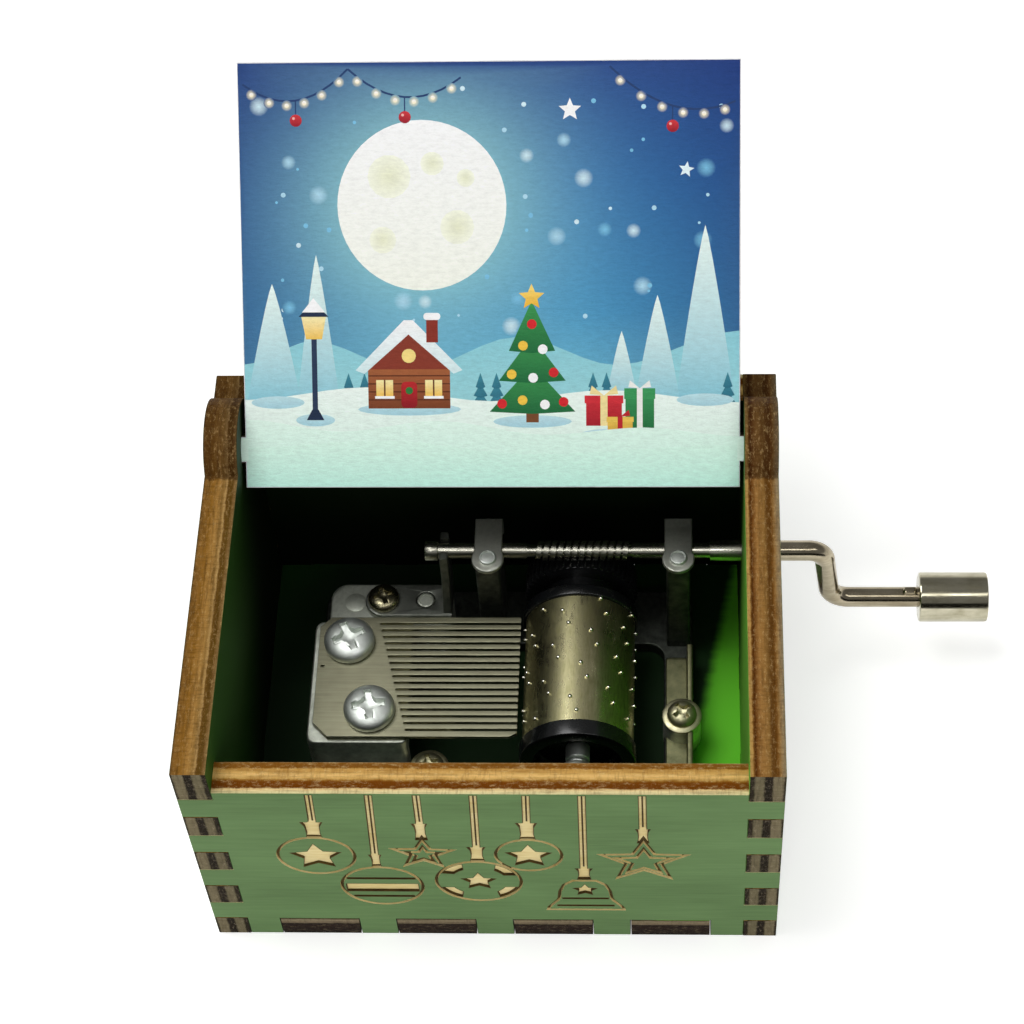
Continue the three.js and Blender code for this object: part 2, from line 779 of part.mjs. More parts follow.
function wormShaft() {
  const reach = (wormTurns + 1) * wormPitch / 2 + wormEndRelief;
  const shaft = turned([[0, shaftLeftX], [collarRadius, shaftLeftX], [collarRadius, collarRightX],
    [shaftRadius, collarRightX], [shaftRadius, drumX - reach], [wormCoreRadius, drumX - reach],
    [wormCoreRadius, drumX + reach], [shaftRadius, drumX + reach], [shaftRadius, crankStartX],
    [spigotRadius, crankStartX], [spigotRadius, crankStartX + spigotLength],
    [0, crankStartX + spigotLength]], 'x', rodSides);
  return shaft.add(wormThread());
}

// Centre line of the crank rod: a straight run, an S-bend of two arcs and the grip's run.
// Its stations are even in t, so that each bend has as many as it needs.
class CrankCentreLine extends THREE.Curve {
  constructor(stations) {
    super();
    this.stations = stations;
  }

  getPoint(t, target = new THREE.Vector3()) {
    const place = t * (this.stations.length - 1);
    const index = Math.min(Math.floor(place), this.stations.length - 2);
    return target.lerpVectors(this.stations[index], this.stations[index + 1], place - index);
  }

  getTangent(t, target = new THREE.Vector3()) {
    const nearest = Math.round(t * (this.stations.length - 1));
    const before = this.stations[Math.max(nearest - 1, 0)];
    const after = this.stations[Math.min(nearest + 1, this.stations.length - 1)];
    const here = this.stations[nearest];
    const arriving = here.clone().sub(before).normalize();
    const leaving = after.clone().sub(here).normalize();
    return target.copy(arriving.add(leaving)).normalize();
  }

  getUtoTmapping(u) {
    return u;
  }
}

function bendPoint(startX, startZ, towards, angle) {
  const across = crankBendRadius * Math.sin(angle);
  const drop = crankBendRadius * (1 - Math.cos(angle));
  return new THREE.Vector3(startX + towards * across, 0, startZ - towards * drop);
}

function crankStations() {
  const angles = Array.from({ length: bendSteps + 1 }, (_, i) => crankBend * i / bendSteps);
  const upper = angles.map((angle) => bendPoint(crankBendX, 0, 1, angle));
  const lower = angles.reverse().map((angle) => bendPoint(gripStartX, -crankThrow, -1, angle));
  return [new THREE.Vector3(crankStartX, 0, 0), ...upper, ...lower,
    new THREE.Vector3(gripEndX, 0, -crankThrow)];
}

function crankArm() {
  const section = new THREE.Shape().absarc(0, 0, crankRadius, 0, 2 * Math.PI, false);
  const stations = crankStations();
  const bar = solid(new THREE.ExtrudeGeometry(section, {
    steps: stations.length - 1,
    curveSegments: rodSides / 2,
    extrudePath: new CrankCentreLine(stations),
  }));
  const stakeHalfHeight = crankRadius + stakeRise;
  const stakes = block(stakeEndX - stakeLength, stakeEndX, -stakeWidth / 2, stakeWidth / 2,
    -crankThrow - stakeHalfHeight, -crankThrow + stakeHalfHeight);
  const rivetedEnd = rodAt('x', crankRadius + rivetedEndRise, gripEndX - rivetedEndLength, gripEndX,
    rodSides, 0, 0, -crankThrow);
  const bore = rod('x', spigotRadius + spigotBoreGap, crankStartX - overrun,
    crankStartX + spigotLength + screwHoleGap, rodSides);
  return joined(bar, stakes, rivetedEnd).subtract(bore);
}

function crankKnob() {
  const start = handleStartX;
  const end = start + handleLength;
  const boreRadius = crankRadius + handleBoreGap;
  const counterboreRadius = crankRadius + rivetedEndRise + handleBoreGap;
  const outer = [[handleRadius - handleEdge, start], [handleRadius, start + handleEdge],
    [handleRadius, end - handleEdge], [handleRadius - handleEdge, end]];
  const inner = [[boreRadius, start], [boreRadius, end - counterboreDepth],
    [counterboreRadius, end - counterboreDepth], [counterboreRadius, end]];
  return turnedRing(outer, inner, 'x', bearingSides);
}

// Cast frame: a base ring with the comb's bed, the plateau, posts and bearings standing on it
function baseRing() {
  const ring = slab(roundedRectangle(frameLeftX, railRightX, frameFrontY, frameRearY, castCornerRadius),
    'xy', floorZ, baseTopZ);
  const opening = slab(roundedRectangle(frameLeftX + bedWall, railLeftX, blockFrontY,
    frameRearY - rearBeamWidth, castCornerRadius), 'xy', floorZ - overrun, baseTopZ + overrun);
  return ring.subtract(opening);
}

function combBed() {
  const outline = roundedRectangle(frameLeftX, frameLeftX + bedReach, blockFrontY, combRearY,
    castCornerRadius);
  const bed = slab(outline, 'xy', floorZ, bedZ);
  const hollow = block(frameLeftX + bedWall, frameLeftX + bedReach + overrun, blockFrontY + bedWall,
    combRearY - bedWall, floorZ - overrun, bedZ - bedThickness);
  return bed.subtract(hollow);
}

function plateau() {
  const left = frameLeftX + plateauInset;
  const right = forkBladeX + forkPlateThickness / 2;
  const front = combRearY - castCornerRadius - bedWall;
  const outline = roundedRectangle(left, right, front, plateauRearY, castCornerRadius);
  return slab(outline, 'xy', floorZ, plateauZ);
}

// A post's outline across the shaft, with an open round-bottomed groove for it
function bearingPost(middleX) {
  const front = wormY - postFrontReach;
  const rear = wormY + postRearReach;
  const groove = shaftRadius + shaftFit;
  const outline = new THREE.Shape();
  outline.moveTo(front - postFootSpread, floorZ);
  outline.lineTo(rear + postFootSpread, floorZ);
  outline.lineTo(rear, baseTopZ + postRearReach);
  outline.lineTo(rear, capSeatZ);
  outline.lineTo(wormY + groove, capSeatZ);
  outline.lineTo(wormY + groove, wormZ);
  outline.absarc(wormY, wormZ, groove, 0, -Math.PI, true);
  outline.lineTo(wormY - groove, capSeatZ);
  outline.lineTo(front, capSeatZ);
  outline.lineTo(front, baseTopZ + postFrontReach);
  outline.closePath();
  const post = slab(outline, 'yz', middleX - postWidth / 2, middleX + postWidth / 2, 2 * quarterArcSteps);
  const rivetHole = rodAt('z', capRivetRadius + rivetFit, capSeatZ - capRivetLength - rivetFit,
    capSeatZ + overrun, rodSides, middleX, capRivetY, 0);
  return post.subtract(rivetHole);
}

function axleBearing(lowY, highY) {
  const half = bearingWidth / 2;
  const outline = new THREE.Shape();
  outline.moveTo(drumX - half, floorZ);
  outline.lineTo(drumX + half, floorZ);
  outline.lineTo(drumX + half, drumZ);
  outline.absarc(drumX, drumZ, half, 0, Math.PI, false);
  outline.closePath();
  const hole = rodAt('y', axleBoreRadius, lowY - overrun, highY + overrun, bearingSides, drumX, 0, drumZ);
  return slab(outline, 'xz', lowY, highY, 3 * quarterArcSteps).subtract(hole);
}

function railFlange() {
  return block(railRightX - railFlangeThickness, railRightX, frameFrontY + castCornerRadius,
    frameRearY - railFlangeRearInset, floorZ, footBossZ);
}

function footBosses() {
  return footScrewPlaces().map(([x, y]) => (
    rodAt('z', footBossRadius, floorZ, footBossZ, screwSides, x, y, 0)
  ));
}

function movementFrame() {
  const locatingPeg = rodAt('z', locatingPegRadius, floorZ, forkPlateZ, rodSides,
    locatingPegX, forkPlateMiddleY, 0);
  const casting = joined(baseRing(), combBed(), plateau(), bearingPost(leftPostX), bearingPost(rightPostX),
    axleBearing(frameFrontY, frontBearingY), axleBearing(rearBearingY, frameRearY),
    railFlange(), ...footBosses(), locatingPeg);
  const combHoles = combScrewPlaces().map(([x, y]) => rodAt('z', combScrewRadius + screwHoleGap,
    combTopZ - combScrewLength - screwHoleGap, combTopZ, screwSides, x, y, 0));
  const footHoles = footScrewPlaces().map(([x, y]) => rodAt('z', footScrewRadius + screwHoleGap,
    floorZ - overrun, footBossZ + overrun, screwSides, x, y, 0));
  const plateHole = rodAt('z', plateScrewRadius + screwHoleGap, forkPlateZ - plateScrewLength - screwHoleGap,
    forkPlateZ, screwSides, plateScrewX, forkPlateMiddleY, 0);
  return cut(casting, ...combHoles, ...footHoles, plateHole);
}

// Cap: a strip over the shaft with a round tab in front and a hook behind the post
function bearingCap(middleX) {
  const half = capStripWidth / 2;
  const rear = wormY + postRearReach;
  const strip = block(middleX - half, middleX + half, capRivetY, rear + capStripThickness,
    capSeatZ, capSeatZ + capStripThickness);
  const tab = rodAt('z', capTabRadius, capSeatZ, capSeatZ + capStripThickness, screwSides,
    middleX, capRivetY, 0);
  const hook = block(middleX - half, middleX + half, rear, rear + capStripThickness,
    capSeatZ - capHookDrop, capSeatZ + capStripThickness);
  const hole = rodAt('z', capRivetRadius + rivetFit, capSeatZ - overrun,
    capSeatZ + capStripThickness + overrun, rodSides, middleX, capRivetY, 0);
  return joined(strip, tab, hook).subtract(hole);
}

function capRivet() {
  return rivet(capRivetHeadRadius, capRivetHeadHeight, capRivetRadius, capRivetLength);
}

// Fork plate: a foot on the plateau, bent up into a blade that straddles the shaft
function forkPlate() {
  const bladeLow = forkBladeX - forkPlateThickness / 2;
  const bladeHigh = forkBladeX + forkPlateThickness / 2;
  const halfDepthOfFoot = forkPlateDepth / 2;
  const outline = new THREE.Shape();
  outline.moveTo(bladeHigh, forkPlateMiddleY - halfDepthOfFoot);
  outline.lineTo(bladeHigh, forkPlateMiddleY + halfDepthOfFoot);
  outline.lineTo(plateScrewX, forkPlateMiddleY + halfDepthOfFoot);
  outline.absarc(plateScrewX, forkPlateMiddleY, halfDepthOfFoot, Math.PI / 2, 1.5 * Math.PI, false);
  outline.closePath();
  outline.holes.push(circlePath(plateScrewX, forkPlateMiddleY, plateScrewRadius + screwHoleGap));
  outline.holes.push(circlePath(locatingPegX, forkPlateMiddleY, locatingPegRadius + rivetFit));
  const foot = slab(outline, 'xy', plateauZ, forkPlateZ, rodSides);

  const slot = shaftRadius + forkSlotGap;
  const prong = slot + forkProngWidth;
  const top = wormZ + forkRise;
  const blade = new THREE.Shape();
  blade.moveTo(forkPlateMiddleY - halfDepthOfFoot, plateauZ);
  blade.lineTo(forkPlateMiddleY + halfDepthOfFoot, plateauZ);
  blade.lineTo(wormY + prong, wormZ - forkShoulder);
  blade.lineTo(wormY + prong, top);
  blade.lineTo(wormY + slot, top);
  blade.lineTo(wormY + slot, wormZ);
  blade.absarc(wormY, wormZ, slot, 0, -Math.PI, true);
  blade.lineTo(wormY - slot, top);
  blade.lineTo(wormY - prong, top);
  blade.lineTo(wormY - prong, wormZ - forkShoulder);
  blade.closePath();
  return foot.add(slab(blade, 'yz', bladeLow, bladeHigh, 2 * quarterArcSteps));
}

function plateScrew() {
  return panScrew(plateScrewHeadRadius, plateScrewHeadHeight, plateScrewRadius, plateScrewLength,
    forkPlateScrewTurn);
}

// Finishes
const stainedWood = { color: 0x5f8257, roughness: 0.75, metalness: 0 };
const castZinc = { color: 0x55565a, roughness: 0.5, metalness: 0.8 };
const combSteel = { color: 0x6f6a60, roughness: 0.4, metalness: 0.9 };
const nickel = { color: 0xb9b4a6, roughness: 0.25, metalness: 1 };
const zincPlate = { color: 0xc9d0d2, roughness: 0.25, metalness: 1 };
const darkBrass = { color: 0x57492e, roughness: 0.35, metalness: 1 };
const blackPlastic = { color: 0x141416, roughness: 0.35, metalness: 0 };

// Assembly
function boxPieces() {
  return [
    piece('bottom_panel', bottomPanel(), stainedWood),
    piece('front_panel', endPanel(frontHeight, -halfDepth, -innerHalfDepth), stainedWood),
    piece('back_panel', endPanel(sideHeight, innerHalfDepth, halfDepth), stainedWood),
    piece('left_panel', leftPanel(), stainedWood),
    piece('right_panel', rightPanel(), stainedWood),
  ];
}

function lidGroup() {
  const group = groupAt(0, pivotY, pivotZ, piece('lid', lidPanel(), stainedWood));
  group.rotation.x = -lidOpenAngle;
  return group;
}

function drumGroup() {
  return groupAt(drumX, 0, drumZ,
    piece('drum_tube', drumTube(), nickel),
    piece('drum_end_cap', drumEndCap(), blackPlastic),
    piece('worm_wheel', wormWheel(), blackPlastic),
    piece('drum_axle', drumAxle(), zincPlate));
}

function crankGroup() {
  return groupAt(0, wormY, wormZ,
    piece('worm_shaft', wormShaft(), nickel),
    piece('crank_arm', crankArm(), nickel),
    groupAt(0, 0, -crankThrow, piece('crank_knob', crankKnob(), nickel)));
}

function capPieces() {
  const capTopZ = capSeatZ + capStripThickness;
  return [['left', leftPostX], ['right', rightPostX]].flatMap(([side, x]) => [
    piece(`bearing_cap_${side}`, bearingCap(x), castZinc),
    groupAt(x, capRivetY, capTopZ, piece(`cap_rivet_${side}`, capRivet(), zincPlate)),
  ]);
}

function screwPieces() {
  const [rear, front] = combScrewPlaces();
  const [right, left] = footScrewPlaces();
  return [
    groupAt(...rear, combTopZ, piece('comb_screw_rear', combScrew(rearCombScrewTurn), zincPlate)),
    groupAt(...front, combTopZ, piece('comb_screw_front', combScrew(frontCombScrewTurn), zincPlate)),
    groupAt(...right, footBossZ, piece('frame_screw_right', footScrew(rightFrameScrewTurn), zincPlate)),
    groupAt(...left, footBossZ, piece('frame_screw_left', footScrew(leftFrameScrewTurn), zincPlate)),
    groupAt(plateScrewX, forkPlateMiddleY, forkPlateZ, piece('fork_plate_screw', plateScrew(), darkBrass)),
  ];
}

const musicBox = new THREE.Group();
musicBox.add(...boxPieces(), lidGroup());
musicBox.add(piece('movement_frame', movementFrame(), castZinc), piece('comb', comb(), combSteel));
musicBox.add(piece('fork_plate', forkPlate(), castZinc), ...capPieces(), ...screwPieces());
musicBox.add(drumGroup(), crankGroup());

export default musicBox;
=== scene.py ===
"""Looks of a hand-cranked music box: a pinned-drum movement in a laser-cut plywood box.

Sizes are in millimetres and every mesh is scaled to metres as it becomes an object. The frame
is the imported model's own: +Z up, the front faces -Y, and the origin is under the box's middle.
"""

import logging
import math
import random
import sys
from dataclasses import dataclass, field
from enum import Enum
from typing import Callable, Iterable, Sequence
import bmesh
import bpy
from mathutils import Matrix, Vector
from mathutils.geometry import delaunay_2d_cdt


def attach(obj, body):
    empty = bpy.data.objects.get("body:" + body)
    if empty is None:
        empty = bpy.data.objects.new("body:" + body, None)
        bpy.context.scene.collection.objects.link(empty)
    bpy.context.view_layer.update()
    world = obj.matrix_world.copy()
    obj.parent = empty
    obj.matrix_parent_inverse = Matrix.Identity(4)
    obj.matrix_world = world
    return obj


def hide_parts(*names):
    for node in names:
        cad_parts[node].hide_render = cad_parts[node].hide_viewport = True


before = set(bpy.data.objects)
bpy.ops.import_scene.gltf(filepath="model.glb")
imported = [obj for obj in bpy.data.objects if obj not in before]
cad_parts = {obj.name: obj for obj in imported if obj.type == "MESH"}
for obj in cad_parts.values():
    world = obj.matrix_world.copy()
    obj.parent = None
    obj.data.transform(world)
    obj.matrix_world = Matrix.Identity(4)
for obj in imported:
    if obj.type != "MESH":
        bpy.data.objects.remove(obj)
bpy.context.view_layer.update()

Point2 = tuple[float, float]
Point3 = tuple[float, float, float]
Outline = Sequence[Point2]
Face = tuple[list[int], int]
Colour = tuple[float, float, float, float]
Tree = bpy.types.NodeTree
Node = bpy.types.Node
Socket = bpy.types.NodeSocket
Object = bpy.types.Object
Form = bmesh.types.BMesh
Vertex = bmesh.types.BMVert

METRE = 0.001
SHARP_ANGLE = math.radians(46)
MERGE_DISTANCE = 1e-4
BAR_SIDES = 28
PIN_SIDES = 10
PIN_RINGS = 6
PIN_DOME = 0.6
THREAD_STEPS = 36
SHEET = "sheet_mm"
INK = "ink"
PLY = 3.8
WALL_TOP = 37.5
WOOD_SHEEN = 0.18
CHAR_SHEEN = 0.02
DARKER_EAR_TONE = "#2f1a0b"
WHITE = (1.0, 1.0, 1.0, 1.0)
# Places that several parts share
LID_PIVOT: Point2 = (17.2, 35.6)
SHAFT_AXIS: Point2 = (13.4, 20.177)
DRUM_AXIS: Point2 = (9.4, 12.8)
AXLE_HOLE = 0.81
DRUM_SIDES = 96
POST_TOP = 21.157
CAP_TOP = POST_TOP + 0.6
CAP_PLACES = {"left": -1.21, "right": 20.9}
RIVET_Y = 11.3
PEG: Point2 = (-9.13, 11.65)
FORK_SCREW: Point2 = (-14.13, 11.65)
FORK_TOP = 12.2
COMB_SCREWS = ((-17.57, 4.646), (-14.67, -4.546))
FRAME_SCREWS = ((21.3, -2.4), (-7.87, -9.39))
COMB_FRONT = -7.946
COMB_PITCH = 0.894
TONES = 18
logger = logging.getLogger("music_box")


class Body(str, Enum):
    """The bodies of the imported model."""

    BOX = "box"
    LID = "lid"
    CRANK = "crank"
    KNOB = "knob"
    DRUM = "drum"


class Plane(Enum):
    """The plane that an outline lies in, named by the axis it is extruded along."""

    X = "x"
    Y = "y"
    Z = "z"

    def place(self, u: float, v: float, w: float) -> Vector:
        """The point of the frame at (u, v) of the outline and w along the plane's axis."""
        return Vector({Plane.X: (w, u, v), Plane.Y: (u, w, v), Plane.Z: (u, v, w)}[self])

    def flat(self, point: Vector) -> Point2:
        """The outline coordinates of a point of the frame."""
        return tuple(c for axis, c in zip("xyz", point) if axis != self.value)

    def normal(self) -> Vector:
        """The unit vector along the plane's axis."""
        return self.place(0.0, 0.0, 1.0)


# Colours and nodes


def linear(hex_colour: str) -> Colour:
    """Linear red, green, blue and alpha of an sRGB hex value."""
    channels = [int(hex_colour[i : i + 2], 16) / 255 for i in (1, 3, 5)]
    return *(c / 12.92 if c <= 0.04045 else ((c + 0.055) / 1.055) ** 2.4 for c in channels), 1.0


def connect(tree: Tree, node: Node, links: dict[int | str, object]) -> None:
    """Fills a node's inputs.

    Args:
        tree: The tree that holds the node.
        node: The node.
        links: For each input, a node or a socket to link, or a plain value to set.
    """
    for key, value in links.items():
        if isinstance(value, Node):
            value = value.outputs[0]
        if isinstance(value, Socket):
            tree.links.new(value, node.inputs[key])
        else:
            node.inputs[key].default_value = value


def add_node(tree: Tree, kind: str, links: dict[int | str, object] | None = None,
             stops: dict[float, str] | None = None, **settings: object) -> Node:
    """Adds a node to a tree.

    Args:
        tree: The shader or geometry tree.
        kind: The node's type name.
        links: For each input, a node or a socket to link, or a plain value to set.
        stops: Hex colours of a colour ramp, by place.
        **settings: Properties of the node.

    Returns:
        The new node.
    """
    node = tree.nodes.new(kind)
    for name, value in settings.items():
        setattr(node, name, value)
    connect(tree, node, links or {})
    for index, (place, hex_colour) in enumerate((stops or {}).items()):
        ramp = node.color_ramp.elements
        element = ramp[index] if index < len(ramp) else ramp.new(place)
        element.position = place
        element.color = linear(hex_colour)
    return node


# Finishes


@dataclass(frozen=True)
class Finish:
    """A surface finish with a procedural material."""

    name: str

    def material(self) -> bpy.types.Material:
        """The finish's material, made on first use."""
        made = bpy.data.materials.get(self.name)
        if made is None:
            made = bpy.data.materials.new(self.name)
            made.use_nodes = True
            self.dress(made.node_tree, made.node_tree.nodes["Principled BSDF"])
        return made

    def dress(self, tree: Tree, shader: Node) -> None:
        """Adds the finish's nodes to a material's tree."""
        raise NotImplementedError

    @staticmethod
    def pattern(tree: Tree, scale: Sequence[float], detail: float, rough: float = 0.5,
                space: bool = False) -> Node:
        """Adds noise on a panel's own coordinates, or in space.

        Args:
            tree: The material's tree.
            scale: Features for each millimetre along each coordinate.
            detail: How many finer layers the noise has.
            rough: How strong they are.
            space: Whether the noise lies in space.

        Returns:
            The noise.
        """
        if space:
            place = add_node(tree, "ShaderNodeTexCoord").outputs["Object"]
            scale = [s / METRE for s in scale]
        else:
            place = add_node(tree, "ShaderNodeAttribute", attribute_name=SHEET).outputs["Vector"]
        spread = add_node(tree, "ShaderNodeVectorMath", {0: place, 1: tuple(scale)}, operation="MULTIPLY")
        links = {"Vector": spread, "Scale": 1.0, "Detail": detail, "Roughness": rough}
        return add_node(tree, "ShaderNodeTexNoise", links)

    @staticmethod
    def toned(tree: Tree, value: Node, ends: Point2, tones: tuple[str, str], curve: str = "LINEAR") -> Node:
        """Colours a value.

        Args:
            tree: The material's tree.
            value: The value.
            ends: Where the first and the second tone are reached.
            tones: The two tones, as hex values.
            curve: How one turns into the other.

        Returns:
            The colour.
        """
        links = {"Value": value, "From Min": ends[0], "From Max": ends[1]}
        share = add_node(tree, "ShaderNodeMapRange", links, interpolation_type=curve)
        return add_node(tree, "ShaderNodeValToRGB", {0: share}, dict(zip((0.0, 1.0), tones)))

    @staticmethod
    def coat(tree: Tree, shader: Node, colour: Node | Socket, height: Node, relief: float,
             roughness: Node | float, sheen: float = 0.5, metallic: float = 0.0) -> None:
        """Gives the surface its colour, relief and gloss.

        Args:
            tree: The material's tree.
            shader: Its shader.
            colour: The colour.
            height: What raises the surface.
            relief: How far, in millimetres.
            roughness: The roughness.
            sheen: The specular level.
            metallic: 1 for bare metal.
        """
        links = {"Height": height, "Strength": 1.0, "Distance": relief * METRE}
        bump = add_node(tree, "ShaderNodeBump", links)
        links = {"Base Color": colour, "Normal": bump, "Roughness": roughness}
        connect(tree, shader, {**links, "Specular IOR Level": sheen, "Metallic": metallic})


@dataclass(frozen=True)
class StainedPly(Finish):
    """Rotary-cut birch veneer under a thin wiped stain: matt, with fine fibres along the sheet."""

    tones: tuple[str, str]
    roughness: float = 0.62
    fibre_length: float = 9.0
    fibre_width: float = 0.5
    relief: float = 0.012

    def dress(self, tree: Tree, shader: Node) -> None:
        """Mixes two tones of the stain along the fibres, with soft clouds.

        Args:
            tree: The material's tree.
            shader: Its shader.
        """
        fine = self.pattern(tree, (1 / self.fibre_length, 1 / self.fibre_width, 1.0), 5.0, 0.65)
        cloud = self.pattern(tree, (0.05, 0.14, 0.1), 3.0)
        both = add_node(tree, "ShaderNodeMath", {0: cloud, 1: 1.3, 2: fine}, operation="MULTIPLY_ADD")
        colour = self.toned(tree, both, (0.8, 1.45), self.tones)
        self.coat(tree, shader, colour, fine, self.relief, self.roughness, WOOD_SHEEN)


@dataclass(frozen=True)
class InsideStainAndPaintedLight(Finish):
    """Green-stained inner veneer with painted light and shade: lighter where light falls in through the open
    top, darkened by painted shade to near black beyond.
    """

    tones: tuple[str, str]
    direction: Point2
    ends: Point2
    breakup: float = 1.6
    roughness: float = 0.6

    def dress(self, tree: Tree, shader: Node) -> None:
        """Fades from the painted shade's dark tone to the lit tone along the sheet, broken up by the fibres.

        Args:
            tree: The material's tree.
            shader: Its shader.
        """
        place = add_node(tree, "ShaderNodeAttribute", attribute_name=SHEET).outputs["Vector"]
        links = {0: place, 1: (*self.direction, 0.0)}
        along = add_node(tree, "ShaderNodeVectorMath", links, operation="DOT_PRODUCT").outputs["Value"]
        grain = self.pattern(tree, (0.15, 1.1, 1.0), 5.0)
        links = {0: grain, 1: self.breakup, 2: along}
        uneven = add_node(tree, "ShaderNodeMath", links, operation="MULTIPLY_ADD")
        colour = self.toned(tree, uneven, self.ends, self.tones, "SMOOTHSTEP")
        self.coat(tree, shader, colour, grain, 0.02, self.roughness, WOOD_SHEEN)


@dataclass(frozen=True)
class LaserCutEdge(Finish):
    """Edge of five-ply birch as the laser left it: scorched glue lines between toasted veneers."""

    plies: dict[float, str]
    scorch_hex: str
    fleck_and_glint_hex: str
    scorch: float
    fleck_and_glint: float
    raggedness: float
    darkening_start: float = 1000.0
    roughness: float = 0.5

    @staticmethod
    def layer(tree: Tree, below: Node | Socket, value: Node, ends: Point2, share: float,
              hex_colour: str) -> Socket:
        """Lays a colour over another one where a value is high.

        Args:
            tree: The material's tree.
            below: The colour under it.
            value: The value.
            ends: Where the layer starts and where it is full.
            share: How much it covers where it is full.
            hex_colour: Its colour.

        Returns:
            The colour of both.
        """
        links = {"Value": value, "From Min": ends[0], "From Max": ends[1], "To Max": share}
        links = {0: add_node(tree, "ShaderNodeMapRange", links), 6: below, 7: linear(hex_colour)}
        return add_node(tree, "ShaderNodeMix", links, data_type="RGBA").outputs[2]

    def dress(self, tree: Tree, shader: Node) -> None:
        """Lays the plies across the thickness, then scorch, laser ridges, a darker tone from the ear back,
        and light flecks that are torn fibres and partly painted glints.

        Args:
            tree: The material's tree.
            shader: Its shader.
        """
        place = add_node(tree, "ShaderNodeAttribute", attribute_name=SHEET).outputs["Vector"]
        parts = add_node(tree, "ShaderNodeSeparateXYZ", {0: place})
        through = add_node(tree, "ShaderNodeMath", {0: parts.outputs["Z"], 1: PLY}, operation="DIVIDE")
        wander = self.pattern(tree, (0.9, 0.9, 0.9), 7.0, 0.72)
        links = {0: wander, 1: self.raggedness, 2: -self.raggedness / 2}
        ragged = add_node(tree, "ShaderNodeMath", links, operation="MULTIPLY_ADD")
        crossed = add_node(tree, "ShaderNodeMath", {0: through, 1: ragged}, operation="ADD")
        plies = add_node(tree, "ShaderNodeValToRGB", {0: crossed}, self.plies)
        streaks = self.pattern(tree, (0.22, 0.22, 3.2), 7.0, 0.72)
        scorched = self.layer(tree, plies, streaks, (0.47, 0.64), self.scorch, self.scorch_hex)
        ridges = self.pattern(tree, (3.2, 3.2, 0.6), 7.0, 0.7)
        ridged = self.layer(tree, scorched, ridges, (0.5, 0.64), 0.75 * self.scorch, self.scorch_hex)
        links = {0: self.pattern(tree, (0.7, 0.7, 1.4), 7.0, 0.7), 1: 1.2, 2: parts.outputs["X"]}
        uneven = add_node(tree, "ShaderNodeMath", links, operation="MULTIPLY_ADD")
        # A darker tone on the side panels' top edges from the ear to the rear
        darkened_to_rear = self.layer(tree, ridged, uneven, (self.darkening_start, self.darkening_start + 0.3), 0.68, DARKER_EAR_TONE)
        # Light flecks of torn fibres, partly painted glints
        fibres = self.pattern(tree, (1.2, 1.2, 2.8), 7.0, 0.85)
        flecked_and_glinting = self.layer(tree, darkened_to_rear, fibres, (0.52, 0.7), self.fleck_and_glint, self.fleck_and_glint_hex)
        self.coat(tree, shader, flecked_and_glinting, ridges, 0.16, self.roughness, CHAR_SHEEN)


@dataclass(frozen=True)
class PrintedPly(Finish):
    """Ultraviolet-cured ink on bare birch: matt colour that follows the veneer's texture."""

    roughness: float = 0.5

    def dress(self, tree: Tree, shader: Node) -> None:
        """Reads the ink laid on the face and mottles it as the veneer under it would.

        Args:
            tree: The material's tree.
            shader: Its shader.
        """
        ink = add_node(tree, "ShaderNodeAttribute", attribute_name=INK).outputs["Color"]
        grain = self.pattern(tree, (0.9, 2.4, 1.0), 6.0, 0.8)
        links = {"Value": grain, "From Min": 0.3, "From Max": 0.7, "To Min": 0.87, "To Max": 1.09}
        tone = add_node(tree, "ShaderNodeMapRange", links)
        shaded = add_node(tree, "ShaderNodeVectorMath", {0: ink, "Scale": tone}, operation="SCALE")
        self.coat(tree, shader, shaded, grain, 0.12, self.roughness, WOOD_SHEEN)


@dataclass(frozen=True)
class Metal(Finish):
    """A metal, or a moulding with its sheen, with fine lines and soft smudges in two tones.

    The lines' scale is in features for each millimetre along X, Y and Z, so that a low value
    along one axis gives the marks of a brush, a grinder or a lathe tool.
    """

    tones: tuple[str, str]
    lines: Point3
    smooth: float
    rough: float
    relief: float = 0.002
    smudge: float = 0.3
    metallic: float = 1.0

    def dress(self, tree: Tree, shader: Node) -> None:
        """Mixes the tones by lines and smudges, and varies the gloss with them.

        Args:
            tree: The material's tree.
            shader: Its shader.
        """
        fine = self.pattern(tree, self.lines, 4.0, 0.6, space=True)
        soft = self.pattern(tree, (self.smudge,) * 3, 5.0, space=True)
        both = add_node(tree, "ShaderNodeMath", {0: soft, 1: 0.9, 2: fine}, operation="MULTIPLY_ADD")
        low, high = 0.68, 1.2
        colour = self.toned(tree, both, (low, high), self.tones)
        links = {"Value": both, "From Min": low, "From Max": high}
        links.update({"To Min": self.rough, "To Max": self.smooth})
        gloss = add_node(tree, "ShaderNodeMapRange", links)
        self.coat(tree, shader, colour, fine, self.relief, gloss, metallic=self.metallic)


@dataclass(frozen=True)
class Paper(Finish):
    """Paper or felt of the studio: matt, and where it glows it looks white but still takes a shadow."""

    hex_colour: str
    glows: bool = False

    def dress(self, tree: Tree, shader: Node) -> None:
        """Colours the paper, and lights it up towards the camera, more so far from the box.

        Args:
            tree: The material's tree.
            shader: Its shader.
        """
        links = {"Base Color": linear(self.hex_colour), "Roughness": 0.9, "Specular IOR Level": 0.1}
        connect(tree, shader, links)
        if self.glows:
            place = add_node(tree, "ShaderNodeTexCoord").outputs["Object"]
            away = add_node(tree, "ShaderNodeVectorMath", {0: place}, operation="LENGTH").outputs["Value"]
            links = {"Value": away, "From Min": 0.25, "From Max": 0.9, "To Min": 0.5, "To Max": 0.95}
            share = add_node(tree, "ShaderNodeMapRange", links)
            glow = add_node(tree, "ShaderNodeMath", {0: looked_at(tree), 1: share}, operation="MULTIPLY")
            connect(tree, shader, {"Emission Color": WHITE, "Emission Strength": glow})


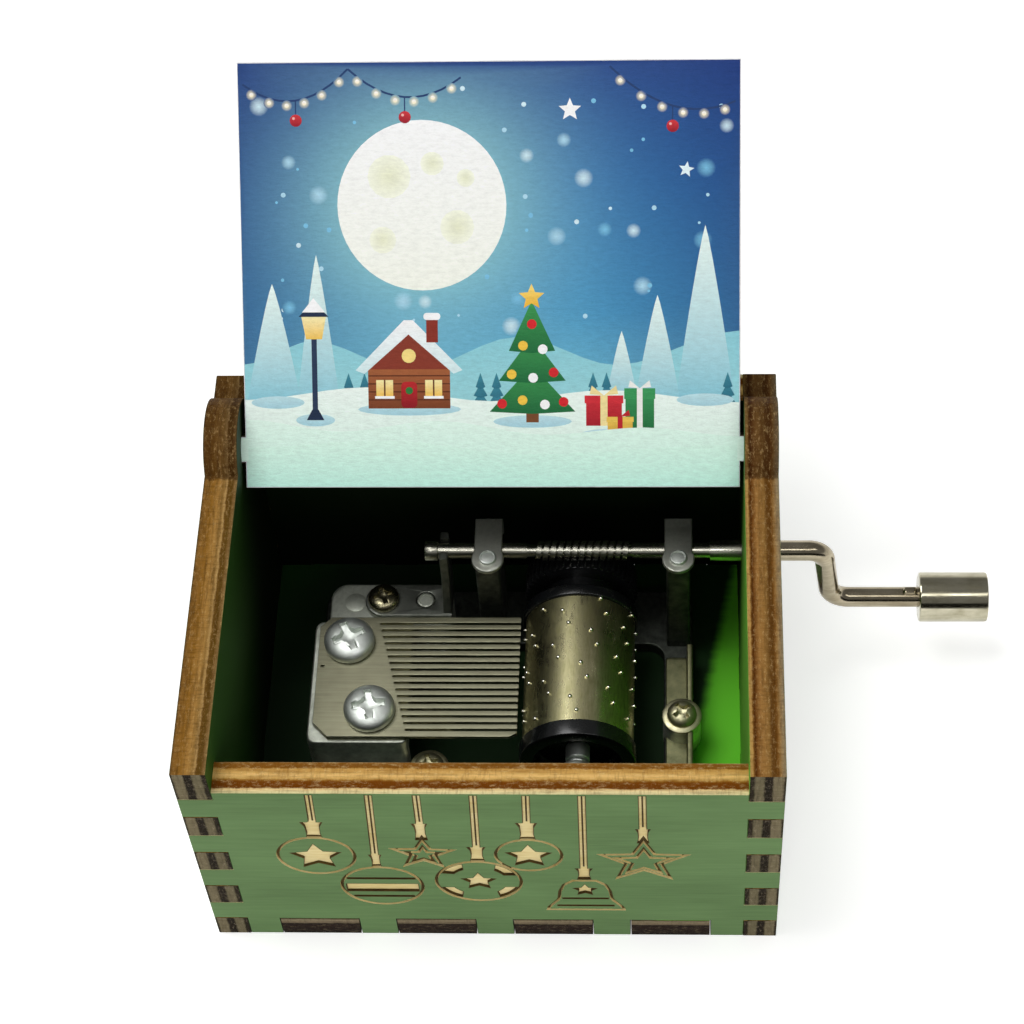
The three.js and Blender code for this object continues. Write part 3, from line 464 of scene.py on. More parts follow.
def looked_at(tree: Tree) -> Node:
    """One where a camera, glossy or transmission ray arrives, and zero for diffuse light.

    Args:
        tree: The tree.

    Returns:
        The node.
    """
    path = add_node(tree, "ShaderNodeLightPath").outputs
    links = {0: path["Is Camera Ray"], 1: path["Is Glossy Ray"]}
    links = {0: add_node(tree, "ShaderNodeMath", links, operation="ADD"), 1: path["Is Transmission Ray"]}
    return add_node(tree, "ShaderNodeMath", links, operation="ADD", use_clamp=True)


class Finishes:
    """The finishes of the music box, named for what each real surface is and, where they carry it, for
    painted light and shade.
    """

    # Sage stain wiped over birch veneer: muted green, matt, faint fibres along the panel
    OUTSIDE = StainedPly("Sage_stained_birch_veneer", ("#567343", "#688853"))
    # Outer face of the lid, stained as the walls are
    LID_BACK = StainedPly("Sage_stained_lid_veneer", ("#567343", "#688853"), 0.6, 11.0)
    # Green stain on the floor's inner face, with a painted pool of light on the strip between the rail and
    # the right wall and painted shade, near black, elsewhere
    FLOOR_INSIDE = InsideStainAndPaintedLight("Sprayed_birch_floor", ("#0a2c05", "#68cc2a"), (1.0, -0.2),
                                 (23.1, 24.8), 0.8)
    # Left wall's inner face: green stain under painted shade, darker towards the rear and the floor
    LEFT_INSIDE = InsideStainAndPaintedLight("Sprayed_birch_left_wall", ("#060f02", "#2b5210"), (-1.0, 0.6), (-4.0, 34.0))
    # Right wall's inner face: green stain under painted shade, darker towards the rear
    RIGHT_INSIDE = InsideStainAndPaintedLight("Sprayed_birch_right_wall", ("#1d3d0c", "#6fb43c"), (-1.0, 0.2),
                                 (-14.0, 12.0))
    # Inner faces of the front and back panels: painted shade, near black, a little lighter towards the top
    END_INSIDE = InsideStainAndPaintedLight("Sprayed_birch_end_wall", ("#030602", "#10230a"), (0.0, 1.0), (8.0, 44.0))
    # Laser-cut top edge, rubbed with oil: a cream outer veneer, then gold between scorched glue lines, with a
    # painted highlight along the inner edge
    TOP_EDGE = LaserCutEdge(
        "Laser_cut_ply_top_edge",
        {0.0: "#e0d69f", 0.1: "#eed9a1", 0.15: "#e4c386", 0.19: "#6a3808", 0.38: "#78410c", 0.43: "#9d6f2c",
         0.48: "#d4a85d", 0.58: "#ebc075", 0.68: "#d0a359", 0.78: "#c7984e", 0.82: "#835318", 0.95: "#86571e",
         # The last tone is a painted highlight along the inner edge
         1.0: "#b09160"},
        "#6b3f0e", "#fbe0a0", 0.4, 0.5, 0.16)
    # The left panel's top edge: brown plies with one dark glue line near the inside, darker from the ear to
    # the rear
    LEFT_TOP_EDGE = LaserCutEdge(
        "Scorched_left_top_edge",
        {0.0: "#4f3c1e", 0.08: "#875f2a", 0.3: "#8d6224", 0.5: "#a87d3f", 0.62: "#95713a", 0.7: "#b08c54",
         0.74: "#68491a", 0.86: "#5f4517", 0.92: "#7a5b31", 1.0: "#93794c"},
        "#4a2f0c", "#dcb87a", 0.6, 0.55, 0.14, 11.9)
    # The right panel's top edge: a greyed outer veneer, then two dark glue lines, darker from the ear to the
    # rear
    RIGHT_TOP_EDGE = LaserCutEdge(
        "Scorched_right_top_edge",
        {0.0: "#8d8268", 0.1: "#957d58", 0.18: "#96713f", 0.23: "#7b5222", 0.28: "#5f3b10", 0.38: "#65431a",
         0.45: "#8a6532", 0.66: "#a0743d", 0.78: "#784c20", 0.84: "#4c2503", 0.88: "#744c1c", 0.92: "#ba904f",
         1.0: "#ad8f50"},
        "#4a2a0a", "#e4c081", 0.5, 0.55, 0.14, 11.9)
    # Upright laser-cut edge: grey-brown end grain with sooty long-grain plies between
    SIDE_EDGE = LaserCutEdge(
        "Laser_cut_ply_side_edge",
        {0.0: "#201a0e", 0.05: "#2c2416", 0.09: "#81765a", 0.33: "#7c7156", 0.38: "#1f180c", 0.57: "#171106",
         0.62: "#71684e", 0.83: "#736a50", 0.88: "#282114", 1.0: "#1b160b"},
        "#2c2014", "#c8b497", 0.4, 0.4, 0.09)
    # Ends of the floor's tabs: tan upper veneers over dark scorched ones
    FLOOR_EDGE = LaserCutEdge(
        "Laser_cut_floor_tab_end",
        {0.0: "#120b06", 0.2: "#1d120b", 0.5: "#27180f", 0.66: "#1c110b", 0.72: "#7c6c55", 0.9: "#95876a",
         1.0: "#4a3d2a"},
        "#1a100a", "#c0ab88", 0.4, 0.3, 0.08)
    # Engraved floor: bare birch under the stain, toasted by the laser
    ENGRAVED = StainedPly("Engraved_bare_birch", ("#dcc27c", "#f9e8b0"), 0.7, 2.5, 0.4)
    # Smoke line beside each engraved edge, down the strings and at the bottom of the grooves: burnt wood,
    # darker there also as painted shade of the cuts
    BURN_AND_SHADE = StainedPly("Burnt_engraving_edge", ("#2e220d", "#5c4a22"), 0.75, 1.5, 0.3)
    # Flat-bed printed picture over bare veneer
    PRINT = PrintedPly("Ink_printed_birch_veneer")
    # Pressure die-cast zinc: satin grey with a faint cast skin
    CAST_ZINC = Metal("Die_cast_zinc", ("#bcc0b2", "#e8ecde"), (0.9, 0.9, 0.9), 0.42, 0.62, 0.006)
    # The casting's base and posts: the same zinc, dull, and darkened as painted shade
    SHADED_CAST_ZINC = Metal("Oiled_as_cast_zinc", ("#3b3e39", "#63675f"), (0.9, 0.9, 0.9), 0.45, 0.65, 0.006)
    # The casting's rail: the same zinc darkened as painted shade and tinted olive as a painted reflection of
    # the green walls, rubbed bright in places
    SHADED_RAIL_ZINC = Metal("Oiled_zinc_rail", ("#6a6b4e", "#979671"), (0.9, 0.9, 0.9), 0.36, 0.58, 0.006)
    # Ground spring steel, hardened and oiled: brownish grey with grinding lines along the reeds
    COMB_STEEL = Metal("Ground_spring_steel", ("#85836d", "#a3a186"), (0.12, 3.0, 3.0), 0.3, 0.42)
    # Nickel-plated steel wire: warm grey metal, drawn along its length and polished
    NICKEL_ROD = Metal("Nickel_plated_wire", ("#857a63", "#b5ab94"), (0.15, 1.2, 1.2), 0.12, 0.22, 0.001)
    # Shaft steel whose lighter tone is painted light inside the box, with a broad soft highlight and fine
    # draw lines
    LIGHTER_SHAFT_STEEL = Metal("Bright_drawn_shaft", ("#b3b1a0", "#e2e0d0"), (0.15, 2.0, 2.0), 0.21, 0.34, 0.001)
    # Polished nickel knob, with fine lines along the barrel
    NICKEL_KNOB = Metal("Polished_nickel_knob", ("#9a947c", "#c0bba5"), (0.3, 1.4, 1.4),
                        0.12, 0.24, 0.001, 0.5)
    # Nickel-plated drum shell: turned, then matt from its punching
    DRUM_NICKEL = Metal("Turned_nickel_drum_shell", ("#9b966c", "#d2cb9e"), (3.4, 0.5, 3.4),
                        0.24, 0.4, 0.003, 0.5)
    # Hardened steel pins, ground level
    PIN_STEEL = Metal("Bright_steel_pin", ("#d9d6c4", "#f7f5ea"), (1.0, 1.0, 1.0), 0.1, 0.2)
    # Tumbled strip steel of the caps: mid grey with a soft sheen
    STRIP_STEEL = Metal("Tumbled_strip_steel", ("#a9aba0", "#cfd1c5"), (0.8, 0.8, 0.8), 0.4, 0.6, 0.004)
    # Strip steel of the fork plate, darkened as painted shade
    SHADED_STRIP_STEEL = Metal("Oiled_strip_steel", ("#6a6d65", "#8d9087"), (0.8, 0.8, 0.8), 0.34, 0.56, 0.004)
    # Clear-passivated zinc plate: bright, with soft blotches
    ZINC_PLATE = Metal("Bright_zinc_plate", ("#d2d8d0", "#f4f8f2"), (0.7, 0.7, 0.7), 0.42, 0.6, 0.003, 0.45)
    # Zinc plate yellowed by oil, on the screws that hold the movement down
    OILED_ZINC = Metal("Oil_yellowed_zinc_plate", ("#9c9877", "#cfcaa6"), (0.7, 0.7, 0.7),
                       0.36, 0.54, 0.003, 0.45)
    # Oiled dark brass
    DARK_BRASS = Metal("Oiled_dark_brass", ("#6f6a52", "#aaa384"), (0.8, 0.8, 0.8), 0.2, 0.36, 0.003)
    # Moulded acetal, black: dull gloss under a film of grease
    ACETAL = Metal("Moulded_black_acetal", ("#060707", "#121314"), (0.5, 0.5, 0.5),
                   0.16, 0.34, 0.004, 0.4, 0.0)
    # White paper sweep under and behind the box: bright, with a soft shadow
    SWEEP = Paper("White_paper_floor", "#f4f4f2", True)
    # Black felt that polished metal mirrors as a dark band
    FELT = Paper("Black_felt_flag", "#15150f")


# Outlines


def polar(centre: Point2, radius: float, degrees: float) -> Point2:
    """The point at a distance and an angle from a centre."""
    turn = math.radians(degrees)
    return centre[0] + radius * math.cos(turn), centre[1] + radius * math.sin(turn)


def arc(centre: Point2, radius: float, start: float, end: float, steps: int) -> list[Point2]:
    """Points of an arc from start to end, in degrees."""
    return [polar(centre, radius, start + (end - start) * i / steps) for i in range(steps + 1)]


def circle(centre: Point2, radius: float, steps: int = 48) -> list[Point2]:
    """A circle as a closed outline."""
    return arc(centre, radius, 0.0, 360.0 - 360.0 / steps, steps - 1)


def box(low_u: float, high_u: float, low_v: float, high_v: float) -> list[Point2]:
    """A rectangle as a closed outline."""
    return [(low_u, low_v), (high_u, low_v), (high_u, high_v), (low_u, high_v)]


def rounded(rectangle: Outline, radius: float, steps: int = 8) -> list[Point2]:
    """A rectangle's outline with its corners turned into arcs.

    Args:
        rectangle: The outline.
        radius: Radius of the corners.
        steps: Chords of each corner.

    Returns:
        The rounded outline.
    """
    (low_u, low_v), _, (high_u, high_v), _ = rectangle
    inner = box(low_u + radius, high_u - radius, low_v + radius, high_v - radius)
    turns = zip(inner[1:] + inner[:1], (-90.0, 0.0, 90.0, 180.0))
    return [point for centre, turn in turns for point in arc(centre, radius, turn, turn + 90.0, steps)]


def star(centre: Point2, outer: float, inner_share: float, turn: float = 90.0) -> list[Point2]:
    """A five-pointed star as a closed outline, with its first tip at turn degrees."""
    radii = (outer, outer * inner_share) * 5
    return [polar(centre, radius, turn + 36.0 * i) for i, radius in enumerate(radii)]


def moved(outline: Outline, centre: Point2, width: float = 1.0, height: float = 1.0) -> list[Point2]:
    """An outline stretched about the origin, then moved to a centre."""
    return [(centre[0] + u * width, centre[1] + v * height) for u, v in outline]


def mirrored(half: Outline) -> list[Point2]:
    """A closed outline from its right half, which may start or end on the line u = 0."""
    return [*half, *((-u, v) for u, v in half[::-1] if u)]


def ribbon(points: Outline, width: float) -> list[Point2]:
    """A line of even width along points, as a closed outline.

    Args:
        points: The points.
        width: The line's width.

    Returns:
        The outline.
    """
    left, right = [], []
    for i, (u, v) in enumerate(points):
        before = Vector(points[max(i - 1, 0)])
        along = (Vector(points[min(i + 1, len(points) - 1)]) - before).normalized() * width / 2
        left.append((u - along.y, v + along.x))
        right.append((u + along.y, v - along.x))
    return left + right[::-1]


def notched(start: Point2, end: Point2, spans: Sequence[Point2], depth: float) -> list[Point2]:
    """A straight edge along u or v with square notches on its left, or tabs for a negative depth.

    Args:
        start: The edge's first point, which is included.
        end: The edge's last point, which is left out.
        spans: The lower and upper coordinate of each notch along the edge.
        depth: How far the notches go to the left of the way from start to end.

    Returns:
        The edge's points.
    """
    axis = 0 if start[1] == end[1] else 1
    way = 1 if end[axis] > start[axis] else -1
    side = start[1 - axis] + depth * (-way if axis else way)
    points = [start]
    for span in spans[::way]:
        near, far = span[::way]
        corners = [(near, start[1 - axis]), (near, side), (far, side), (far, start[1 - axis])]
        points += [corner[:: -1 if axis else 1] for corner in corners]
    return points


def anticlockwise(outline: Outline) -> list[Point2]:
    """The outline, turned round where it runs clockwise."""
    area = sum(a[0] * b[1] - b[0] * a[1] for a, b in zip(outline, [*outline[1:], outline[0]]))
    return list(outline) if area > 0 else list(outline)[::-1]


def shifted(outline: Outline, amount: float) -> list[Point2]:
    """Moves a closed outline to the left of its way, with mitred corners.

    Args:
        outline: The outline.
        amount: How far.

    Returns:
        The moved outline.
    """
    shift = []
    for i, place in enumerate(outline):
        here = Vector(place)
        arriving = (here - Vector(outline[i - 1])).normalized()
        leaving = (Vector(outline[(i + 1) % len(outline)]) - here).normalized()
        first = Vector((-arriving.y, arriving.x))
        second = Vector((-leaving.y, leaving.x))
        shift.append(tuple(here + (first + second) * amount / (1 + first.dot(second))))
    return shift


def softened(outline: Outline, radius: float, steps: int = 4) -> list[Point2]:
    """Turns every sharp corner of a closed outline into a curve.

    Args:
        outline: The outline.
        radius: Radius of the corners, less where two of them are close.
        steps: How many chords each corner gets.

    Returns:
        The soft outline.
    """
    soft = []
    for i, place in enumerate(outline):
        here = Vector(place)
        before = Vector(outline[i - 1]) - here
        after = Vector(outline[(i + 1) % len(outline)]) - here
        turn = math.pi - before.angle(after)
        if turn < SHARP_ANGLE:
            soft.append(place)
            continue
        reach = min(radius * math.tan(turn / 2), 0.45 * before.length, 0.45 * after.length)
        start = here + before.normalized() * reach
        end = here + after.normalized() * reach
        for share in (k / steps for k in range(steps + 1)):
            soft.append(tuple(start * (1 - share) ** 2 + here * 2 * share * (1 - share) + end * share**2))
    return soft


def divided(outlines: Sequence[Outline], loose: Outline = ()) -> tuple[list[Point2], list[Face]]:
    """Divides a plane by overlapping outlines.

    Args:
        outlines: Closed outlines, each lying over the ones before it.
        loose: Single points that the division also passes through.

    Returns:
        The points, and for each face its points and the number of the topmost outline over it.
    """
    places: list[Vector] = []
    rings = []
    for outline in outlines:
        rings.append(list(range(len(places), len(places) + len(outline))))
        places += [Vector(point) for point in anticlockwise(outline)]
    places += [Vector(point) for point in loose]
    points, _, faces, _, _, over = delaunay_2d_cdt(places, [], rings, 1, 1e-6)
    return [tuple(p) for p in points], [(list(f), max(o)) for f, o in zip(faces, over) if 0 in o]


# Forms


def mended(form: Form) -> Form:
    """The form with its doubled points joined and its faces turned outward.

    Args:
        form: The form.

    Returns:
        The same form.
    """
    bmesh.ops.remove_doubles(form, verts=form.verts[:], dist=MERGE_DISTANCE)
    bmesh.ops.recalc_face_normals(form, faces=form.faces[:])
    return form


def stitched(form: Form, rows: Sequence[Sequence[Vertex]]) -> None:
    """Joins closed rows of vertices by bands of faces.

    Args:
        form: The form that holds them.
        rows: The rows, each as long as the next one or a single vertex.
    """
    for first, second in zip(rows, rows[1:]):
        count = max(len(first), len(second))
        for i in range(count):
            near = [first[k % len(first)] for k in (i, (i + 1) % count)]
            far = [second[k % len(second)] for k in ((i + 1) % count, i)]
            corners = list(dict.fromkeys(near + far))
            if len(corners) > 2:
                form.faces.new(corners)


def as_mesh(form: Form, name: str) -> bpy.types.Mesh:
    """A mesh made from a form, which is used up.

    Args:
        form: The form.
        name: The mesh's name.

    Returns:
        The mesh.
    """
    mesh = bpy.data.meshes.new(name)
    form.to_mesh(mesh)
    form.free()
    return mesh


def linked(name: str, mesh: bpy.types.Mesh) -> Object:
    """Links a mesh to the scene as it is.

    Args:
        name: The object's name.
        mesh: The mesh.

    Returns:
        The object.
    """
    made = bpy.data.objects.new(name, mesh)
    bpy.context.scene.collection.objects.link(made)
    return made


@dataclass(frozen=True)
class Part:
    """What a piece is: its body, a material slot name that nothing uses, and the model's nodes it stands for.
    """

    body: Body
    slot: str
    nodes: Sequence[str] = ()

    def shown(self, name: str, mesh: bpy.types.Mesh, place: Matrix | None = None) -> None:
        """Turns a mesh into a finished piece in metres, smooth except at its sharp edges.

        Args:
            name: The piece's name.
            mesh: Its mesh, in millimetres.
            place: Where the mesh goes, in millimetres.
        """
        mesh.transform(Matrix.Scale(METRE, 4) @ (place or Matrix.Identity(4)))
        mesh.name = name
        mesh.shade_smooth()
        mesh.set_sharp_from_angle(angle=SHARP_ANGLE)
        piece = linked(name, mesh)
        piece.modifiers.new("Even shading", "WEIGHTED_NORMAL").keep_sharp = True
        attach(piece, self.body.value)
        if self.nodes:
            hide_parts(*self.nodes)
        logger.info("%s: %d faces on %s", name, len(mesh.polygons), self.body.value)


@dataclass(frozen=True)
class Mark:
    """A shape that is cut into a face, or printed on it."""

    outline: Outline = ()
    finish: int = 0
    depth: float = 0.0
    ink: Callable[[Point2], Colour] | None = None
    wall: int = 0


@dataclass(frozen=True)
class Sheet:
    """Where a sheet of plywood lies: the plane of its faces, its outer face and the way out of it."""

    plane: Plane
    outer: float
    outward: float

    def coordinates(self, point: Vector) -> Vector:
        """Along, up and through the sheet from its outer face."""
        return Vector((*self.plane.flat(point), abs(point.dot(self.plane.normal()) - self.outer)))

    def veneer(self, face: bmesh.types.BMFace) -> int:
        """Number of a face's finish: outer face, inner face, top edge or upright edge.

        Args:
            face: The face.

        Returns:
            The number.
        """
        out = face.normal.dot(self.plane.normal()) * self.outward
        if abs(out) > 0.8:
            return 0 if out > 0 else 1
        return 2 if face.normal.z > 0.5 or face.calc_center_median().z > WALL_TOP else 3


class Solid:
    """A closed mesh in millimetres, put together from separate forms."""

    def __init__(self) -> None:
        """Starts an empty mesh."""
        self.mesh = bmesh.new()

    def take(self, form: Form, finish: int | None = 0) -> "Solid":
        """Adds a form, which is used up.

        Args:
            form: The form.
            finish: Number of its material, or none where its faces have theirs.

        Returns:
            The solid.
        """
        if finish is not None:
            for face in form.faces:
                face.material_index = finish
        held = as_mesh(mended(form), "form")
        self.mesh.from_mesh(held)
        bpy.data.meshes.remove(held)
        return self

    @staticmethod
    def shell(outline: Outline, holes: Sequence[Outline], plane: Plane, ends: Point2, edge: float,
              caps: Sequence[float]) -> tuple[Form, Outline]:
        """Makes a prism whose cap edges are rounded, whole or with a cap left off.

        Args:
            outline: The closed outline.
            holes: Closed outlines left open.
            plane: The plane they lie in.
            ends: Where the prism starts and ends along the plane's axis.
            edge: Radius of the cap's edges.
            caps: The ends that get their cap.

        Returns:
            The form and the outline of its caps.
        """
        form = bmesh.new()
        rings = [anticlockwise(outline), *[anticlockwise(hole)[::-1] for hole in holes]]
        turns = [0.0, math.pi / 4, math.pi / 2] if edge > 0 else [0.0]
        lower = [(edge * (1 - math.sin(t)), ends[0] + edge * (1 - math.cos(t))) for t in turns]
        levels = lower + [(shift, ends[0] + ends[1] - level) for shift, level in lower[::-1]]
        for ring in rings:
            rows = [(level, shifted(ring, shift)) for shift, level in levels]
            stitched(form, [[form.verts.new(plane.place(*p, level)) for p in row] for level, row in rows])
        faced = [shifted(ring, edge) for ring in rings]
        for level in caps:
            points, faces = divided(faced)
            corners = [form.verts.new(plane.place(*point, level)) for point in points]
            for face in (face for face, over in faces if over == 0):
                form.faces.new([corners[i] for i in face])
        return form, faced[0]

    def prism(self, outline: Outline, plane: Plane, low: float, high: float, edge: float = 0.0,
              holes: Sequence[Outline] = (), finish: int = 0) -> "Solid":
        """Adds an outline extruded from low to high along its plane's axis, with rounded cap edges."""
        form, _ = self.shell(outline, holes, plane, (low, high), edge, (low, high))
        return self.take(form, finish)

    def panel(self, outline: Outline, sheet: Sheet, edge: float, holes: Sequence[Outline] = (),
              marks: Sequence[Mark] = (), loose: Outline = ()) -> "Solid":
        """Adds a sheet of plywood, with the marks that its outer face carries.

        Args:
            outline: The closed outline.
            sheet: Where the sheet lies.
            edge: Radius of its edges.
            holes: Closed outlines left open.
            marks: What the outer face carries, first the mark for the whole face.
            loose: Points that the drawn face is also divided at.

        Returns:
            The solid.
        """
        faces = sheet.outer - sheet.outward * PLY, sheet.outer
        caps = faces[:1] if marks else faces
        form, ring = self.shell(outline, holes, sheet.plane, sorted(faces), edge, caps)
        mended(form)
        centre = sum((v.co for v in form.verts), Vector()) / len(form.verts)
        topmost = max(form.faces, key=lambda face: face.calc_center_median().z)
        if (topmost.calc_center_median() - centre).dot(topmost.normal) < 0:
            bmesh.ops.reverse_faces(form, faces=form.faces[:])
        for face in form.faces:
            face.material_index = sheet.veneer(face)
        if marks:
            self.draw(form, ring, sheet, marks, loose)
        return self.take(form, None)

    @staticmethod
    def draw(form: Form, ring: Outline, sheet: Sheet, marks: Sequence[Mark], loose: Outline) -> None:
        """Closes a sheet's outer face with the marks that it carries.

        Args:
            form: The sheet's other faces.
            ring: The face's outline.
            sheet: Where the sheet lies.
            marks: The marks, the first of them for the whole face.
            loose: Points that the face is also divided at.
        """
        layer = form.loops.layers.float_color.new(INK)
        points, faces = divided([ring, *[mark.outline for mark in marks[1:]]], loose)
        corners: dict[tuple[int, float], Vertex] = {}
        borders: dict[tuple[int, int], list[tuple[float, int]]] = {}

        def corner(index: int, depth: float) -> Vertex:
            """The vertex of a point at a depth.

            Args:
                index: The point's number.
                depth: The depth.

            Returns:
                The vertex.
            """
            if (index, depth) not in corners:
                level = sheet.outer - sheet.outward * depth
                corners[index, depth] = form.verts.new(sheet.plane.place(*points[index], level))
            return corners[index, depth]

        for face, over in faces:
            mark = marks[over]
            made = form.faces.new([corner(i, mark.depth) for i in face])
            made.material_index = mark.finish
            if mark.ink is not None:
                for loop, index in zip(made.loops, face):
                    loop[layer] = mark.ink(points[index])
            for a, b in zip(face, [*face[1:], face[0]]):
                borders.setdefault((min(a, b), max(a, b)), []).append((mark.depth, mark.wall))
        for (a, b), sides in borders.items():
            if len(sides) == 2 and sides[0][0] != sides[1][0]:
                (upper, _), (lower, wall) = sorted(sides)
                around = (corner(a, upper), corner(b, upper), corner(b, lower), corner(a, lower))
                form.faces.new(around).material_index = wall

    def turned(self, profile: Outline, axis: Plane, centre: Point2, sides: int, finish: int = 0) -> "Solid":
        """Adds a profile turned about an axis: a full form where it starts on the axis, or a ring.

        Args:
            profile: Radius and place along the axis of each of its points.
            axis: The plane across the axis.
            centre: Where the axis passes through that plane.
            sides: How many sides the form has.
            finish: Number of its material.

        Returns:
            The solid.
        """
        form = bmesh.new()
        rows = []
        for radius, level in profile:
            around = circle(centre, radius, sides) if radius else [centre]
            rows.append([form.verts.new(axis.place(*point, level)) for point in around])
        stitched(form, rows + rows[:1] if profile[0][0] > 0 else rows)
        return self.take(form, finish)

    def swept(self, path: Sequence[Vector], radius: float, finish: int = 0) -> "Solid":
        """Adds a round bar along a path that stays in a plane of constant Y.

        Args:
            path: The centre line.
            radius: The bar's radius.
            finish: Number of its material.

        Returns:
            The solid.
        """
        form = bmesh.new()
        across = Vector((0.0, 1.0, 0.0))
        rows = []
        for i, place in enumerate(path):
            up = (path[min(i + 1, len(path) - 1)] - path[max(i - 1, 0)]).normalized().cross(across)
            around = circle((0.0, 0.0), radius, BAR_SIDES)
            rows.append([form.verts.new(place + across * u + up * v) for u, v in around])
        stitched(form, rows)
        for end in (rows[0][::-1], rows[-1]):
            form.faces.new(end)
        return self.take(form, finish)

    def master(self) -> Object:
        """Turns the mesh into an object in millimetres, to be copied and then removed."""
        return linked("Master", as_mesh(self.mesh, "Master"))

    def piece(self, name: str, finishes: Sequence[Finish], body: Body, slot: str, *nodes: str,
              sheet: Sheet | None = None, place: Matrix | None = None) -> None:
        """Turns the mesh into a finished piece.

        Args:
            name: The piece's name.
            finishes: Its materials, in the order of their numbers.
            body: The body it moves with.
            slot: A material slot name, which nothing uses.
            *nodes: The model's nodes that it stands for.
            sheet: The sheet whose own coordinates the mesh carries.
            place: Where the mesh goes, in millimetres.
        """
        if sheet is not None:
            layer = self.mesh.verts.layers.float_vector.new(SHEET)
            for vertex in self.mesh.verts:
                vertex[layer] = sheet.coordinates(vertex.co)
        held = as_mesh(self.mesh, name)
        for finish in finishes:
            held.materials.append(finish.material())
        Part(body, slot, nodes).shown(name, held, place)


# Geometry Nodes


class Trees:
    """Geometry Nodes trees that make what repeats or follows a helix."""

    @staticmethod
    def started(name: str, kind: str, *labels: str) -> tuple[Tree, bpy.types.NodeOutputs]:
        """Starts a tree with a mesh, named inputs and a finish, and a geometry output.

        Args:
            name: The tree's name.
            kind: Socket type of the named inputs.
            *labels: Their names.

        Returns:
            The tree and the sockets of its input node.
        """
        tree = bpy.data.node_groups.new(name, "GeometryNodeTree")
        for label in ("Geometry", *labels, "Finish"):
            socket = {"Geometry": "Geometry", "Finish": "Material"}.get(label, kind)
            tree.interface.new_socket(label, in_out="INPUT", socket_type=f"NodeSocket{socket}")
        tree.interface.new_socket("Geometry", in_out="OUTPUT", socket_type="NodeSocketGeometry")
        return tree, add_node(tree, "NodeGroupInput").outputs

    @staticmethod
    def ended(tree: Tree, geometry: Node, finish: Socket) -> Tree:
        """Realizes the instances, sets their material and links the output.

        Args:
            tree: The tree.
            geometry: Its last node.
            finish: The material.

        Returns:
            The whole tree.
        """
        real = add_node(tree, "GeometryNodeRealizeInstances", {0: geometry})
        coated = add_node(tree, "GeometryNodeSetMaterial", {"Geometry": real, "Material": finish})
        add_node(tree, "NodeGroupOutput", {0: coated})
        return tree

    @classmethod
    def pins(cls) -> Tree:
        """A round-headed pin on every point, standing along the point's facing."""
        tree, given = cls.started("Drum_pins", "Float", "Pin radius", "Pin height")
        links = {"Vertices": PIN_SIDES, "Radius": given["Pin radius"], "Depth": given["Pin height"]}
        shank = add_node(tree, "GeometryNodeMeshCylinder", links)
        half = add_node(tree, "ShaderNodeMath", {0: given["Pin height"], 1: 0.5}, operation="MULTIPLY")
        top = add_node(tree, "ShaderNodeCombineXYZ", {"Z": half})
        links = {"Segments": PIN_SIDES, "Rings": PIN_RINGS, "Radius": given["Pin radius"]}
        dome = add_node(tree, "GeometryNodeMeshUVSphere", links)
        links = {"Geometry": dome, "Translation": top, "Scale": (1.0, 1.0, PIN_DOME)}
        raised = add_node(tree, "GeometryNodeTransform", links)
        pin = add_node(tree, "GeometryNodeJoinGeometry", {0: shank})
        connect(tree, pin, {0: raised})
        links = {"Name": "facing"}
        facing = add_node(tree, "GeometryNodeInputNamedAttribute", links, data_type="FLOAT_VECTOR")
        upright = add_node(tree, "FunctionNodeAlignRotationToVector", {"Vector": facing}, axis="Z")
        links = {"Points": given[0], "Instance": pin, "Rotation": upright}
        placed = add_node(tree, "GeometryNodeInstanceOnPoints", links)
        return cls.ended(tree, placed, given["Finish"])

    @classmethod
    def thread(cls) -> Tree:
        """A thread of trapezoid section wound about Z from the origin upwards."""
        sizes = ("Pitch", "Turns", "Radius", "Root width", "Tip width", "Depth")
        tree, given = cls.started("Worm_thread", "Float", *sizes)
        links = {0: given["Pitch"], 1: given["Turns"]}
        height = add_node(tree, "ShaderNodeMath", links, operation="MULTIPLY")
        links = {"Start Radius": given["Radius"], "End Radius": given["Radius"], "Height": height}
        links.update({"Rotations": given["Turns"], "Resolution": THREAD_STEPS})
        helix = add_node(tree, "GeometryNodeCurveSpiral", links)
        upright = add_node(tree, "GeometryNodeSetCurveNormal", {0: helix}, mode="Z_UP")
        links = {"Bottom Width": given["Root width"], "Top Width": given["Tip width"], "Offset": 0.0,
                 "Height": given["Depth"]}
        section = add_node(tree, "GeometryNodeCurvePrimitiveQuadrilateral", links, mode="TRAPEZOID")
        links = {"Geometry": section, "Rotation": (0.0, 0.0, math.radians(-90))}
        links = {"Curve": upright, "Profile Curve": add_node(tree, "GeometryNodeTransform", links)}
        wound = add_node(tree, "GeometryNodeCurveToMesh", {**links, "Fill Caps": True})
        return cls.ended(tree, wound, given["Finish"])

    @classmethod
    def copies(cls) -> Tree:
        """One master form on every point, turned by the point's turn."""
        tree, given = cls.started("Copies_on_points", "Object", "Master")
        master = add_node(tree, "GeometryNodeObjectInfo", {"Object": given["Master"]}).outputs["Geometry"]
        links = {"Name": "turn"}
        turn = add_node(tree, "GeometryNodeInputNamedAttribute", links, data_type="FLOAT_VECTOR")
        links = {"Points": given[0], "Instance": master, "Rotation": turn}
        placed = add_node(tree, "GeometryNodeInstanceOnPoints", links)
        return cls.ended(tree, placed, given["Finish"])


def points_mesh(name: str, places: Sequence[Point3], attribute: str, values: Sequence[Point3]) -> Object:
    """Makes an object of loose points in millimetres.

    Args:
        name: Its name.
        places: The points.
        attribute: Name of the vector that each point carries.
        values: The vectors.

    Returns:
        The object.
    """
    mesh = bpy.data.meshes.new(name)
    mesh.from_pydata([tuple(place) for place in places], [], [])
    carried = mesh.attributes.new(attribute, "FLOAT_VECTOR", "POINT")
    carried.data.foreach_set("vector", [c for value in values for c in value])
    return linked(name, mesh)


